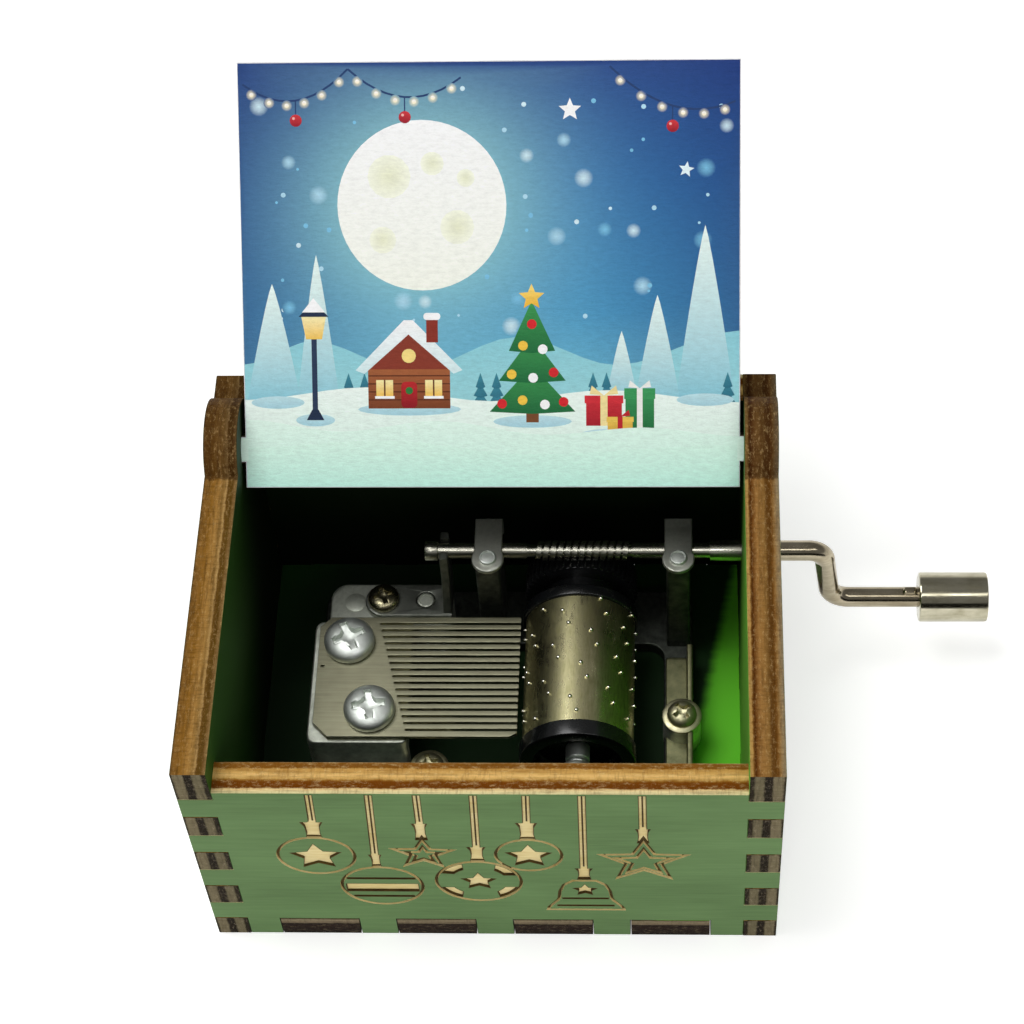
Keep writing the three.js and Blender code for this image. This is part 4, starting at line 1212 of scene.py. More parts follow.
def grown(base: Object, tree: Tree, finish: Finish, values: dict[str, object], part: Part,
          place: Matrix | None = None) -> None:
    """Runs a tree on a base object and keeps its result as a piece of the base's name.

    Args:
        base: The object that carries the points, which is used up.
        tree: The Geometry Nodes tree.
        finish: The piece's finish.
        values: The value of each named input; a master object among them is used up.
        part: What the piece is.
        place: Where the result goes, in millimetres.
    """
    name = base.name
    modifier = base.modifiers.new("Tree", "NODES")
    modifier.node_group = tree
    given = {**values, "Finish": finish.material()}
    for item in tree.interface.items_tree:
        if item.in_out == "INPUT" and item.name in given:
            modifier[item.identifier] = given[item.name]
    graph = bpy.context.evaluated_depsgraph_get()
    mesh = bpy.data.meshes.new_from_object(base.evaluated_get(graph))
    base.modifiers.remove(modifier)
    for used in (base, values.get("Master")):
        if used is not None:
            bpy.data.objects.remove(used)
    form = bmesh.new()
    form.from_mesh(mesh)
    mended(form).to_mesh(mesh)
    form.free()
    part.shown(name, mesh, place)


# Plywood box


@dataclass
class PlywoodBox:
    """Four finger-jointed walls and a floor of laser-cut plywood."""

    half_width: float = 32.0
    half_depth: float = 26.0
    front_height: float = 33.55
    finger: float = 4.0495
    finger_count: int = 7
    front_tabs: tuple[int, float] = (4, 13.3104)
    side_tabs: tuple[int, float] = (3, 13.298)
    tab_share: float = 0.684
    clearance: float = 0.1
    pivot: Point2 = LID_PIVOT
    ear_radius: float = 5.6
    pivot_hole_radius: float = 2.52
    crank_hole_radius: float = 2.02
    edge: float = 0.1

    def fingers(self, gap: float) -> list[Point2]:
        """Heights of the front and back panels' fingers, less a gap at both ends of each."""
        lows = [PLY + i * self.finger for i in range(0, self.finger_count, 2)]
        return [(low + gap, low + self.finger - gap) for low in lows]

    def tabs(self, row: tuple[int, float], gap: float) -> list[Point2]:
        """Where a row of the floor's tabs lies, by their number and pitch, less a gap at both ends."""
        half = self.tab_share * row[1] / 2 - gap
        return [(c - half, c + half) for c in ((i - (row[0] - 1) / 2) * row[1] for i in range(row[0]))]

    def end_outline(self, height: float) -> list[Point2]:
        """Outline of the front or back panel.

        Args:
            height: The panel's height.

        Returns:
            The outline.
        """
        w, fingers = self.half_width - PLY, self.fingers(self.clearance)
        foot = notched((-w, 0.0), (w, 0.0), self.tabs(self.front_tabs, 0.0), PLY)
        right = notched((w, 0.0), (w, height), fingers, -PLY)
        return [*foot, *right, (w, height), *notched((-w, height), (-w, 0.0), fingers, -PLY)]

    def side_outline(self) -> list[Point2]:
        """Outline of a side panel, with the round ear that carries the lid."""
        d, top = self.half_depth, WALL_TOP
        rise = math.degrees(math.asin((top - self.pivot[1]) / self.ear_radius))
        foot = notched((-d, 0.0), (d, 0.0), self.tabs(self.side_tabs, 0.0), PLY)
        rear = notched((d, 0.0), (d, top), self.fingers(0.0), PLY)
        ear = arc(self.pivot, self.ear_radius, rise, 180 - rise, 36)
        return [*foot, *rear, (d, top), *ear, *notched((-d, top), (-d, 0.0), self.fingers(0.0), PLY)]

    def floor_outline(self) -> list[Point2]:
        """Outline of the floor, with its tabs."""
        w, d = self.half_width - PLY, self.half_depth - PLY
        corners = box(-w, w, -d, d)
        rows = [self.tabs(row, self.clearance) for row in (self.front_tabs, self.side_tabs)] * 2
        edges = zip(corners, corners[1:] + corners[:1], rows)
        return [point for start, end, row in edges for point in notched(start, end, row, -PLY)]

    def build(self) -> None:
        """Makes the five panels."""
        look, side = Finishes, self.side_outline()
        # The front and back panels' inner faces take the near-black painted shade
        end = look.OUTSIDE, look.END_INSIDE, look.TOP_EDGE, look.SIDE_EDGE
        hole = circle(self.pivot, self.pivot_hole_radius, 40)
        # Each panel's inner face takes its stain with painted light and shade
        for name, outline, sheet, finishes, holes, marks in (
            ("Front_panel", self.end_outline(self.front_height), Sheet(Plane.Y, -self.half_depth, -1.0),
             (*end, look.ENGRAVED, look.BURN_AND_SHADE), [], HangingOrnaments().marks()),
            ("Back_panel", self.end_outline(WALL_TOP), Sheet(Plane.Y, self.half_depth, 1.0), end, [], []),
            ("Left_panel", side, Sheet(Plane.X, -self.half_width, -1.0),
             (look.OUTSIDE, look.LEFT_INSIDE, look.LEFT_TOP_EDGE, look.SIDE_EDGE), [hole], []),
            ("Right_panel", side, Sheet(Plane.X, self.half_width, 1.0),
             (look.OUTSIDE, look.RIGHT_INSIDE, look.RIGHT_TOP_EDGE, look.SIDE_EDGE),
             [hole, circle(SHAFT_AXIS, self.crank_hole_radius, 40)], []),
            ("Floor_panel", self.floor_outline(), Sheet(Plane.Z, 0.0, -1.0),
             (look.OUTSIDE, look.FLOOR_INSIDE, look.FLOOR_EDGE, look.FLOOR_EDGE), [], []),
        ):
            node = name.lower().replace("floor", "bottom")
            solid = Solid().panel(outline, sheet, self.edge, holes, marks)
            solid.piece(name, finishes, Body.BOX, "plywood", node, sheet=sheet)


@dataclass
class HangingOrnaments:
    """Christmas ornaments on strings, laser-engraved into the front panel."""

    depth: float = 0.3
    line: float = 0.38
    rim_burn_and_shade: float = 0.08
    string_top: float = 33.2
    passes: list[list[Mark]] = field(default_factory=lambda: [[] for _ in range(8)])

    def cut(self, outline: Outline, level: int = 0) -> None:
        """Engraves a filled shape on a level: bare wood inside burnt walls and a burnt rim, which also paints
        the shade along the cut's edge.

        Args:
            outline: The shape.
            level: The number of its layer.
        """
        shape = anticlockwise(outline)
        self.passes[level].append(Mark(shifted(shape, -self.rim_burn_and_shade), 5))
        self.passes[level + 1].append(Mark(shape, 4, self.depth, wall=5))

    def groove(self, outline: Outline, level: int = 0) -> None:
        """Engraves a line along a closed outline: burnt at its bottom, dark there also as painted shade of
        the narrow groove, with bare walls.

        Args:
            outline: The shape.
            level: The number of its layer.
        """
        shape = anticlockwise(outline)
        self.passes[level + 1].append(Mark(shifted(shape, -self.line / 2), 5, self.depth, wall=4))
        self.passes[level + 3].append(Mark(shifted(shape, self.line / 2), 0))

    def hang(self, top: float, bottom: Point2, centre: Point2, width: float, height: float) -> None:
        """Engraves a string and an ornament's cap, a crown that narrows to a neck.

        Args:
            top: Where the string leaves the panel's top edge.
            bottom: Where it ends.
            centre: The cap's centre.
            width: The cap's width.
            height: Its height.
        """
        way = [(top, self.string_top), bottom]
        self.cut(ribbon(way, 0.74))
        # A burnt line down the string's middle, also painted shade down the groove
        self.passes[7].append(Mark(ribbon(way, 0.2), 5, self.depth))
        crown = [(0.0, 0.5), (0.4, 0.42), (1.0, 0.42), (0.66, 0.2), (0.6, -0.15), (0.8, -0.5)]
        self.cut(moved(mirrored(crown), centre, width / 2, height))

    def marks(self) -> list[Mark]:
        """All the marks of the front panel, the plain face first."""
        self.hang(-17.98, (-18.2, 27.0), (-18.35, 25.2), 2.3, 4.6)
        self.groove(circle((-18.6, 19.4), 4.2, 44))
        self.cut(star((-18.6, 19.2), 2.9, 0.5, 92), 4)
        self.banded_bauble((-12.0, 12.2), 4.5)
        self.hang(-6.63, (-6.74, 26.8), (-6.8, 25.2), 1.6, 4.0)
        self.groove(star((-6.9, 19.9), 3.4, 0.42, 88))
        self.groove(star((-6.9, 19.7), 1.9, 0.42, 88), 4)
        self.ringed_bauble((-1.2, 13.4), 4.7)
        self.hang(4.87, (4.7, 27.0), (4.65, 25.2), 2.2, 4.6)
        self.groove(circle((4.6, 19.7), 3.6, 40))
        self.cut(star((4.6, 19.5), 2.6, 0.5), 4)
        self.bell((10.5, 6.5), 4.25, 7.4)
        self.hang(17.06, (17.07, 25.8), (17.07, 24.4), 1.5, 3.4)
        self.groove(star((17.1, 18.4), 4.9, 0.42))
        self.groove(star((17.1, 18.2), 3.1, 0.42), 4)
        return [Mark(), *[mark for layer in self.passes for mark in layer]]

    def banded_bauble(self, centre: Point2, radius: float) -> None:
        """Engraves a bauble with bands across it.

        Args:
            centre: Its centre.
            radius: Its radius.
        """
        self.hang(-11.67, (-12.2, 19.4), (centre[0] - 0.2, centre[1] + radius + 1.5), 1.3, 3.4)
        self.groove(circle(centre, radius, 44))
        for low, high in ((-0.3, 0.1), (0.36, 0.44), (-0.6, -0.52)):
            reach = 0.93 * math.sqrt(1 - max(abs(low), abs(high)) ** 2)
            self.cut(moved(box(-reach, reach, low, high), centre, radius, radius), 4)

    def ringed_bauble(self, centre: Point2, radius: float) -> None:
        """Engraves a bauble with a star and four panels round it.

        Args:
            centre: Its centre.
            radius: Its radius.
        """
        self.hang(-0.66, (-1.0, 21.4), (-1.05, 20.0), 1.9, 3.6)
        self.groove(circle(centre, radius, 44))
        self.cut(star(centre, radius * 0.42, 0.5), 4)
        for start in (20, 112, 200, 300):
            outer = arc(centre, radius * 0.94, start, start + 42, 8)
            self.cut(outer + arc(centre, radius * 0.68, start + 34, start + 8, 6), 4)

    def bell(self, foot: Point2, half: float, height: float) -> None:
        """Engraves a bell with a banded skirt.

        Args:
            foot: The middle of its mouth.
            half: Half its width.
            height: Its height.
        """
        x, z = foot
        side = [(1.0, 0.0), (0.97, 0.09), (0.73, 0.32), (0.69, 0.4), (0.66, 0.62), (0.55, 0.83), (0.3, 0.97)]
        self.hang(10.72, (x, z + height + 2.6), (x, z + height + 1.5), 1.8, 2.8)
        self.groove(moved(mirrored(side), foot, half, height))
        for reach, low, high in ((0.6, 0.36, 0.4), (0.74, 0.12, 0.16)):
            self.cut(moved(box(-reach, reach, low, high), foot, half, height), 4)
        self.cut(star((x, z + 0.66 * height), 1.35, 0.5), 4)


# Lid


def mixed(first: Colour, second: Colour, share: float) -> Colour:
    """A blend of two colours, with the share of the second kept between 0 and 1."""
    return tuple(a + (b - a) * min(max(share, 0.0), 1.0) for a, b in zip(first, second))


@dataclass
class WinterPrint:
    """A made-up winter night in ink: moon, firs, a cabin, parcels and a lantern on snow.

    Its coordinates are across the lid and up from the pivot, in millimetres. A shape's inks
    are its colour above and, where it fades, its colour below.
    """

    half_width: float = 27.8
    low: float = -4.353
    high: float = 43.0
    moon: Point2 = (-7.5, 27.2)
    moon_radius: float = 9.4
    lattice: float = 1.9
    margin: float = 0.6
    flake_count: int = 64
    seed: int = 7
    shapes: list[Mark] = field(default_factory=list)
    points: list[Point2] = field(default_factory=list)

    def sky(self, place: Point2) -> Colour:
        """Night sky: deep blue above, teal above the snow, and a glow round the moon.

        Args:
            place: Where it is looked at.

        Returns:
            Its colour there.
        """
        height = (place[1] - self.low) / (self.high - self.low)
        stops = [(0.0, "#a9e2e0"), (0.2, "#74bfd8"), (0.42, "#4696c4"), (0.72, "#3173ae"), (1.0, "#294a8c")]
        colour = linear(stops[-1][1])
        for (start, first), (end, second) in zip(stops, stops[1:]):
            if height <= end:
                colour = mixed(linear(first), linear(second), (height - start) / (end - start))
                break
        colour = mixed(colour, linear("#152f74"), abs(place[0]) / self.half_width - 0.35)
        away = math.dist(place, self.moon) / self.moon_radius
        return mixed(colour, linear("#a6e0dc"), 0.9 * math.exp(-((away / 1.4) ** 2)))

    def paint(self, outline: Outline, top: str, bottom: str | None = None) -> None:
        """Prints a shape in one colour, or fading down to a second one.

        Args:
            outline: The shape.
            top: Its colour.
            bottom: The second colour.
        """
        low, *_, high = sorted(v for _, v in outline)
        inks = linear(bottom or top), linear(top)
        self.shapes.append(Mark(outline, ink=lambda place: mixed(*inks, (place[1] - low) / (high - low))))

    def group(self, foot: Point2, shapes: Iterable[tuple], width: float = 1.0, height: float = 1.0) -> None:
        """Prints shapes, each an outline and its inks, stretched and moved from the origin to a foot."""
        for outline, *inks in shapes:
            self.paint(moved(outline, foot, width, height), *inks)

    def glow(self, centre: Point2, radius: float, middle: str, rim: str | None = None) -> None:
        """Prints a disc that fades from its middle to its rim, or into the sky.

        Args:
            centre: The disc's centre.
            radius: Its radius.
            middle: The colour of its middle.
            rim: The colour of its rim.
        """

        def ink(place: Point2) -> Colour:
            """Colour of the disc at a place."""
            edge = linear(rim) if rim else self.sky(place)
            return mixed(linear(middle), edge, (math.dist(place, centre) / radius) ** 1.3)

        self.points += [centre, *circle(centre, radius * 0.5, 8)]
        self.shapes.append(Mark(circle(centre, radius, 14), ink=ink))

    def dark_fir(self, foot: Point2, width: float, height: float, top: str, bottom: str) -> None:
        """Prints a fir of three tiers.

        Args:
            foot: The middle of its foot.
            width: Its width.
            height: Its height.
            top: Colour of each tier's top.
            bottom: Colour of each tier's foot.
        """
        for share, low, high in ((1.0, 0.0, 0.42), (0.78, 0.28, 0.68), (0.54, 0.55, 1.0)):
            half, edge = width * share / 2, low * height
            tier = [(-half, edge), (0, edge - 0.25), (half, edge), (0, high * height)]
            self.paint(moved(tier, foot), top, bottom)

    def ridge(self, places: Outline, top: str, bottom: str) -> None:
        """Prints ground from one side of the lid to the other below a soft line.

        Args:
            places: Points of the line.
            top: The ground's colour above.
            bottom: Its colour below.
        """
        edge = self.half_width - 0.12
        line = []
        for (x0, v0), (x1, v1) in zip(places, places[1:]):
            for share in (k / 6 for k in range(6)):
                line.append((x0 + (x1 - x0) * share, v0 + (v1 - v0) * share * share * (3 - 2 * share)))
        foot = self.low + 0.12
        self.paint([(-edge, foot), *line, places[-1], (edge, foot)][::-1], top, bottom)

    def cabin(self, foot: Point2) -> None:
        """A log cabin with snow on its roof and light in its windows.

        Args:
            foot: The middle of its foot.
        """
        logs = [(box(-4.6, 4.6, k * 0.9, k * 0.9 + 0.14), "#5d2e1a") for k in range(1, 5)]
        roof_snow = [(-6.0, 4.3), (-5.0, 3.9), (0.0, 8.3), (5.0, 3.9), (6.0, 4.3), (0.5, 9.9), (-0.5, 9.9)]
        windows = []
        for u in (-2.75, 2.75):
            windows.append((box(u - 0.95, u + 0.95, 1.3, 3.2), "#fff0b0", "#f6c350"))
            windows.append((box(u - 0.09, u + 0.09, 1.3, 3.2), "#6b3a20"))
            windows.append((box(u - 1.1, u + 1.1, 1.1, 1.4), "#ffffff"))
        self.group(foot, [
            (box(-4.6, 4.6, 0.0, 4.6), "#a8623a", "#7c4024"), *logs,
            ([(-5.4, 4.4), (5.4, 4.4), (0.0, 9.2)], "#8b3a2a"), (roof_snow, "#ffffff", "#d9f0f2"),
            (box(2.0, 3.3, 7.4, 10.2), "#8d3325"), (rounded(box(1.7, 3.6, 9.9, 10.7), 0.35, 3), "#ffffff"),
            (rounded(box(-0.9, 0.9, 0.05, 3.0), 0.5, 3), "#c0282c", "#8f1620"),
            (circle((0.0, 2.0), 0.42, 12), "#2f7a3c"), *windows, (circle((0.0, 5.9), 0.8, 14), "#fbe08a"),
        ])

    def decorated_fir(self, foot: Point2) -> None:
        """A fir hung with red, gold and white balls under a star.

        Args:
            foot: The middle of its foot.
        """
        self.group(foot, [(box(-0.7, 0.7, -0.6, 1.0), "#7a4a2a")])
        self.dark_fir((foot[0], foot[1] + 0.6), 9.6, 12.4, "#3f9a52", "#1d6a3c")
        balls = [(-3.4, 1.5), (-1.1, 1.9), (1.4, 1.4), (3.5, 1.7), (-2.3, 4.8), (0.1, 4.4), (2.4, 5.0),
                 (-1.0, 8.0), (1.2, 7.6), (0.0, 10.4)]
        inks = ("#d8262e", "#f5c94a", "#ffffff")
        self.group(foot, [(circle(ball, 0.55, 12), inks[k % 3]) for k, ball in enumerate(balls)])
        self.group(foot, [(star((0.0, 13.4), 1.5, 0.46), "#ffe27a", "#f2b632")])

    def parcel(self, foot: Point2, width: float, height: float, inks: tuple[str, str, str]) -> None:
        """A wrapped parcel with a bow.

        Args:
            foot: The middle of its foot.
            width: Its width.
            height: Its height.
            inks: Its paper, the paper's shade and its band.
        """
        paper, shade, band = inks
        self.group(foot, [
            (box(-0.5, 0.5, 0.0, 1.0), paper, shade), (box(-0.1, 0.1, 0.0, 1.0), band),
            (box(-0.54, 0.54, 0.74, 1.0), paper), (box(-0.1, 0.1, 0.74, 1.0), band),
        ], width, height)
        bows = [([(0.0, 0.0), (side * 0.34, 0.28), (side * 0.4, 0.04)], band) for side in (-1, 1)]
        self.group((foot[0], foot[1] + height), bows, width, width)

    def lantern(self, foot: Point2) -> None:
        """A street lantern with a lit head and snow on it.

        Args:
            foot: The middle of its foot.
        """
        self.group(foot, [
            (box(-0.3, 0.3, 0.0, 9.0), "#2b3a55"),
            ([(-1.0, -0.1), (1.0, -0.1), (0.35, 1.1), (-0.35, 1.1)], "#22304a"),
            ([(-0.9, 9.0), (0.9, 9.0), (1.4, 11.6), (-1.4, 11.6)], "#fff2b8", "#f8c95c"),
            ([(-1.7, 11.5), (1.7, 11.5), (0.0, 13.2)], "#22304a"),
            ([(-1.3, 12.0), (1.3, 12.0), (0.0, 13.6)], "#ffffff"),
        ])

    def garland(self, places: Outline, sag: float) -> None:
        """Prints a cord of small lights, with a bauble at each low point.

        Args:
            places: Where the cord is held up.
            sag: How far it hangs down between them.
        """
        for (x0, v0), (x1, v1) in zip(places, places[1:]):
            shares = [k / 12 for k in range(13)]
            hung = [(x0 + (x1 - x0) * s, v0 + (v1 - v0) * s - 4 * sag * s * (1 - s)) for s in shares]
            self.paint(ribbon(hung, 0.22), "#27406f")
            for u, v in hung[1:12:2]:
                self.glow((u, v - 0.5), 0.62, "#fff4cf")
                self.paint(circle((u, v - 0.5), 0.24, 10), "#ffffff", "#fff3d0")
            bauble = (circle((0.0, -2.2), 0.68, 14), "#d83a40", "#96182a")
            shine = (circle((-0.24, -1.96), 0.16, 8), "#f7b8b4")
            self.group(hung[6], [(box(-0.07, 0.07, -1.7, 0.0), "#27406f"), bauble, shine])

    def marks(self) -> list[Mark]:
        """Everything that is printed on the lid, the sky first."""
        self.paint(circle(self.moon, self.moon_radius, 56), "#ffffff", "#fcfef2")
        for u, v, radius in ((-3.6, 3.2, 2.4), (3.9, -2.4, 1.9), (1.2, 4.6, 1.3), (-4.4, -3.8, 1.5),
                             (4.9, 3.0, 1.0)):
            self.glow((self.moon[0] + u, self.moon[1] + v), radius, "#eef0d2", "#fcfeec")
        self.flakes()
        self.garland([(-27.2, 40.6), (-15.5, 42.2), (-3.0, 41.2)], 2.6)
        self.garland([(13.4, 42.3), (27.2, 38.4)], 2.4)
        self.paint(star((9.0, 37.6), 1.3, 0.45), "#ffffff")
        self.paint(star((21.8, 31.0), 0.9, 0.45, 80), "#e5f6fb")
        hills = [(-27.68, 9.6), (-20.0, 12.2), (-9.0, 8.8), (3.0, 12.6), (14.0, 9.4), (27.68, 13.2)]
        self.ridge(hills, "#8fd0dc", "#a9dfe0")
        flank = [(0.5 * (1 - v) ** 0.85, v) for v in (0.03, 0.2, 0.4, 0.6, 0.8, 0.93)]
        pale_fir = mirrored([(0.1, -0.02), (0.35, -0.02), *flank, (0.0, 1.0)])
        for *foot, width, height in ((-24.4, 5.2, 6.2, 13.4), (-19.4, 4.6, 5.0, 17.2), (23.9, 5.4, 6.6, 19.5),
                                     (18.6, 5.0, 5.2, 12.2), (14.6, 5.0, 3.8, 8.2)):
            self.group(foot, [(pale_fir, "#effdf6", "#86c9da")], width, height)
        for x in (-16.0, -14.2, -1.2, 0.6, 11.4, 12.9, 26.4):
            self.dark_fir((x, 5.0), 2.0, 3.6, "#3f8a9c", "#2f7287")
        self.ridge([(-27.68, 5.6), (-14.0, 7.0), (0.0, 5.4), (13.0, 6.6), (27.68, 5.2)], "#f4fff8", "#d9faea")
        for *foot, half in ((-9.2, 4.5, 5.8), (4.6, 3.1, 4.4), (-19.8, 3.3, 2.2), (14.2, 1.6, 4.4),
                            (-24.0, 5.3, 3.0), (23.9, 5.5, 3.2)):
            self.group(foot, [(circle((0.0, 0.0), 1.0, 20), "#c4e6ec", "#a8d6e2")], half, 0.7)
        self.cabin((-9.2, 4.6))
        self.decorated_fir((4.6, 3.6))
        self.lantern((-19.8, 3.4))
        self.parcel((12.6, 2.6), 4.0, 3.4, ("#d5303a", "#a81d2b", "#f7e3a0"))
        self.parcel((16.6, 2.2), 3.2, 4.6, ("#3c9a5a", "#22703f", "#f4f4ee"))
        self.parcel((14.4, 1.4), 2.8, 2.2, ("#f0c95a", "#d9a53a", "#c1272f"))
        near = [(-27.68, 3.4), (-17.0, 2.0), (-6.0, 3.2), (6.0, 1.6), (17.0, 2.4), (27.68, 1.4)]
        self.ridge(near, "#e8fff2", "#cff9e8")
        self.ridge([(-27.68, 0.2), (-12.0, 1.0), (4.0, -0.6), (27.68, 0.4)], "#e0feee", "#c6f6e6")
        for middle in (-29.68, 29.68):
            self.paint(box(middle - 2.2, middle + 2.2, -1.34, 1.34), "#e2feef")
        return [Mark(ink=self.sky), *self.shapes]

    def flakes(self) -> None:
        """Prints snow falling, of a few sizes."""
        draw, reach = random.Random(self.seed), self.half_width - 1
        for _ in range(self.flake_count):
            place = draw.uniform(-reach, reach), draw.uniform(13.0, self.high - 1.2)
            radius = draw.choice((0.16, 0.2, 0.28, 0.42, 0.55))
            if math.dist(place, self.moon) > self.moon_radius + 1:
                tint = draw.choice(("#7fc4e4", "#d6eff7", "#b4def0"))
                if radius < 0.3:
                    self.paint(circle(place, radius, 8), tint)
                else:
                    self.glow(place, 2 * radius, tint)

    def grid(self) -> list[Point2]:
        """Points that let the sky's gradient bend."""
        columns = int(2 * (self.half_width - self.margin) / self.lattice)
        rows = int((self.high - self.low - 2 * self.margin) / self.lattice)
        left, foot = -self.half_width + self.margin, self.low + self.margin
        cells = ((i, j) for i in range(columns) for j in range(rows))
        return [(left + (i + 0.5 * (j % 2)) * self.lattice, foot + j * self.lattice) for i, j in cells]


@dataclass
class Lid:
    """The printed lid, drawn about its pivot and turned open."""

    half_width: float = 27.8
    lug_reach: float = 32.0
    lug_half_depth: float = 1.45
    front: float = -43.0
    tail: float = 4.353
    open_degrees: float = 137.4859
    pivot: Point2 = LID_PIVOT
    edge: float = 0.1

    def outline(self) -> list[Point2]:
        """Outline of the leaf and its two lugs, across the lid and up from the pivot."""
        w, lug, reach = self.half_width, self.lug_half_depth, self.lug_reach
        return [
            (-w, -self.tail), (w, -self.tail), (w, -lug), (reach, -lug), (reach, lug), (w, lug),
            (w, -self.front), (-w, -self.front), (-w, lug), (-reach, lug), (-reach, -lug), (-w, -lug),
        ]

    def build(self) -> None:
        """Makes the lid with its printed face."""
        sheet = Sheet(Plane.Z, PLY / 2, 1.0)
        picture = WinterPrint()
        marks = picture.marks()
        points = picture.grid() + picture.points
        solid = Solid().panel(self.outline(), sheet, self.edge, marks=marks, loose=points)
        # The print's up is away from the pivot, so the sheet is turned over before it opens
        turned_over = Matrix.Rotation(math.pi, 4, "X")
        opened = Matrix.Rotation(-math.radians(self.open_degrees), 4, "X")
        place = Matrix.Translation((0.0, *self.pivot)) @ opened @ turned_over
        finishes = (Finishes.PRINT, Finishes.LID_BACK, Finishes.SIDE_EDGE, Finishes.SIDE_EDGE)
        solid.piece("Printed_lid", finishes, Body.LID, "lid_print", "lid", sheet=sheet, place=place)


# Movement


@dataclass
class CastFrame:
    """The die-cast frame: base, comb bed, plateau, posts and axle bearings."""

    floor: float = PLY
    sunk: float = 4.0
    base_top: float = 5.6
    left: float = -21.87
    right: float = 22.6
    front: float = -12.49
    rear: float = 17.1
    bed_top: float = 13.0
    plateau_top: float = 11.2
    edge: float = 0.22
    wall: float = 2.0
    corner: float = 2.0

    def build(self) -> None:
        """Makes the casting as one piece."""
        solid = Solid()
        opening = rounded(box(-19.87, 19.2, -8.29, 9.6), self.corner)
        base = rounded(box(self.left, self.right, self.front, self.rear), self.corner)
        # The base takes the zinc darkened as painted shade
        solid.prism(base, Plane.Z, self.floor, self.base_top, self.edge, [opening], finish=1)
        self.bed(solid)
        plateau = rounded(box(-20.57, -5.93, 4.15, 14.55), self.corner)
        solid.prism(plateau, Plane.Z, self.floor + 0.3, self.plateau_top, self.edge)
        pad = [(0.0, 10.8), (1.25, 10.8), (1.25, 11.26), (1.05, 11.32), (0.0, 11.32)]
        for place in ((-17.6, 11.9), (-8.0, 9.6)):
            solid.turned(pad, Plane.Z, place, 28)
        for x in CAP_PLACES.values():
            self.post(solid, x)
        self.bearing(solid, self.front, self.front + 1.2)
        self.bearing(solid, self.rear - 1.6, self.rear)
        self.rail(solid)
        peg = [(0.0, 4.2), (1.0, 4.2), (1.0, 12.16), (0.94, 12.22), (0.8, 12.22), (0.72, 12.12), (0.0, 12.12)]
        solid.turned(peg, Plane.Z, PEG, 28)
        finishes = Finishes.CAST_ZINC, Finishes.SHADED_CAST_ZINC, Finishes.SHADED_RAIL_ZINC
        solid.piece("Cast_frame", finishes, Body.BOX, "cast_frame", "movement_frame")

    def bed(self, solid: Solid) -> None:
        """Adds the hollow block that the comb is screwed to.

        Args:
            solid: The casting.
        """
        left, right, rear, front = self.left, -10.27, 8.146, -8.29
        inner = left + self.wall, front + self.wall, rear - self.wall
        shell = [(left, front), (right, front), (right, inner[1]), inner[:2], (inner[0], inner[2]),
                 (right, inner[2]), (right, rear), (left, rear)]
        solid.prism(softened(shell, 1.2), Plane.Z, self.sunk, self.bed_top, self.edge)
        table = box(left + 0.6, right, front + 0.6, rear - 0.6)
        solid.prism(softened(table, 0.6), Plane.Z, 9.8, self.bed_top - 0.02, self.edge)

    def post(self, solid: Solid, x: float) -> None:
        """Adds a post with the groove that carries the crankshaft.

        Args:
            solid: The casting.
            x: The post's middle.
        """
        y, groove, low = SHAFT_AXIS[0], 0.98, self.sunk
        outline = [(9.0, low), (17.1, low), (16.3, 8.5), (16.3, POST_TOP), (y + groove, POST_TOP),
                   *arc(SHAFT_AXIS, groove, 0, -180, 16), (y - groove, POST_TOP), (9.8, POST_TOP), (9.8, 9.2)]
        # Each post takes the zinc darkened as painted shade
        solid.prism(outline, Plane.X, x - 1.4, x + 1.4, 0.3, finish=1)

    def bearing(self, solid: Solid, low: float, high: float) -> None:
        """Adds a round-topped plate with the hole for the drum's axle.

        Args:
            solid: The casting.
            low: Where it starts along Y.
            high: Where it ends.
        """
        x, half = DRUM_AXIS[0], 1.9
        outline = [(x - half, self.sunk), (x + half, self.sunk), *arc(DRUM_AXIS, half, 0, 180, 24)]
        solid.prism(outline, Plane.Y, low, high, 0.18, [circle(DRUM_AXIS, AXLE_HOLE, 28)])

    def rail(self, solid: Solid) -> None:
        """Adds the right rail's flange and the bosses for the two screws.

        Args:
            solid: The casting.
        """
        # Flange and web take the rail zinc, darkened as painted shade and a painted green reflection
        flange = softened(box(21.9, 22.6, -10.49, 7.6), 0.2)
        solid.prism(flange, Plane.Z, self.sunk, 9.0, 0.18, finish=2)
        web = softened(box(19.4, 22.0, -10.2, 7.3), 0.5)
        solid.prism(web, Plane.Z, self.sunk, 6.4, 0.2, finish=2)
        boss = [(1.3, self.sunk), (2.2, self.sunk), (2.2, 8.8), (2.0, 9.0), (1.3, 9.0)]
        for place in FRAME_SCREWS:
            solid.turned(boss, Plane.Z, place, 36)


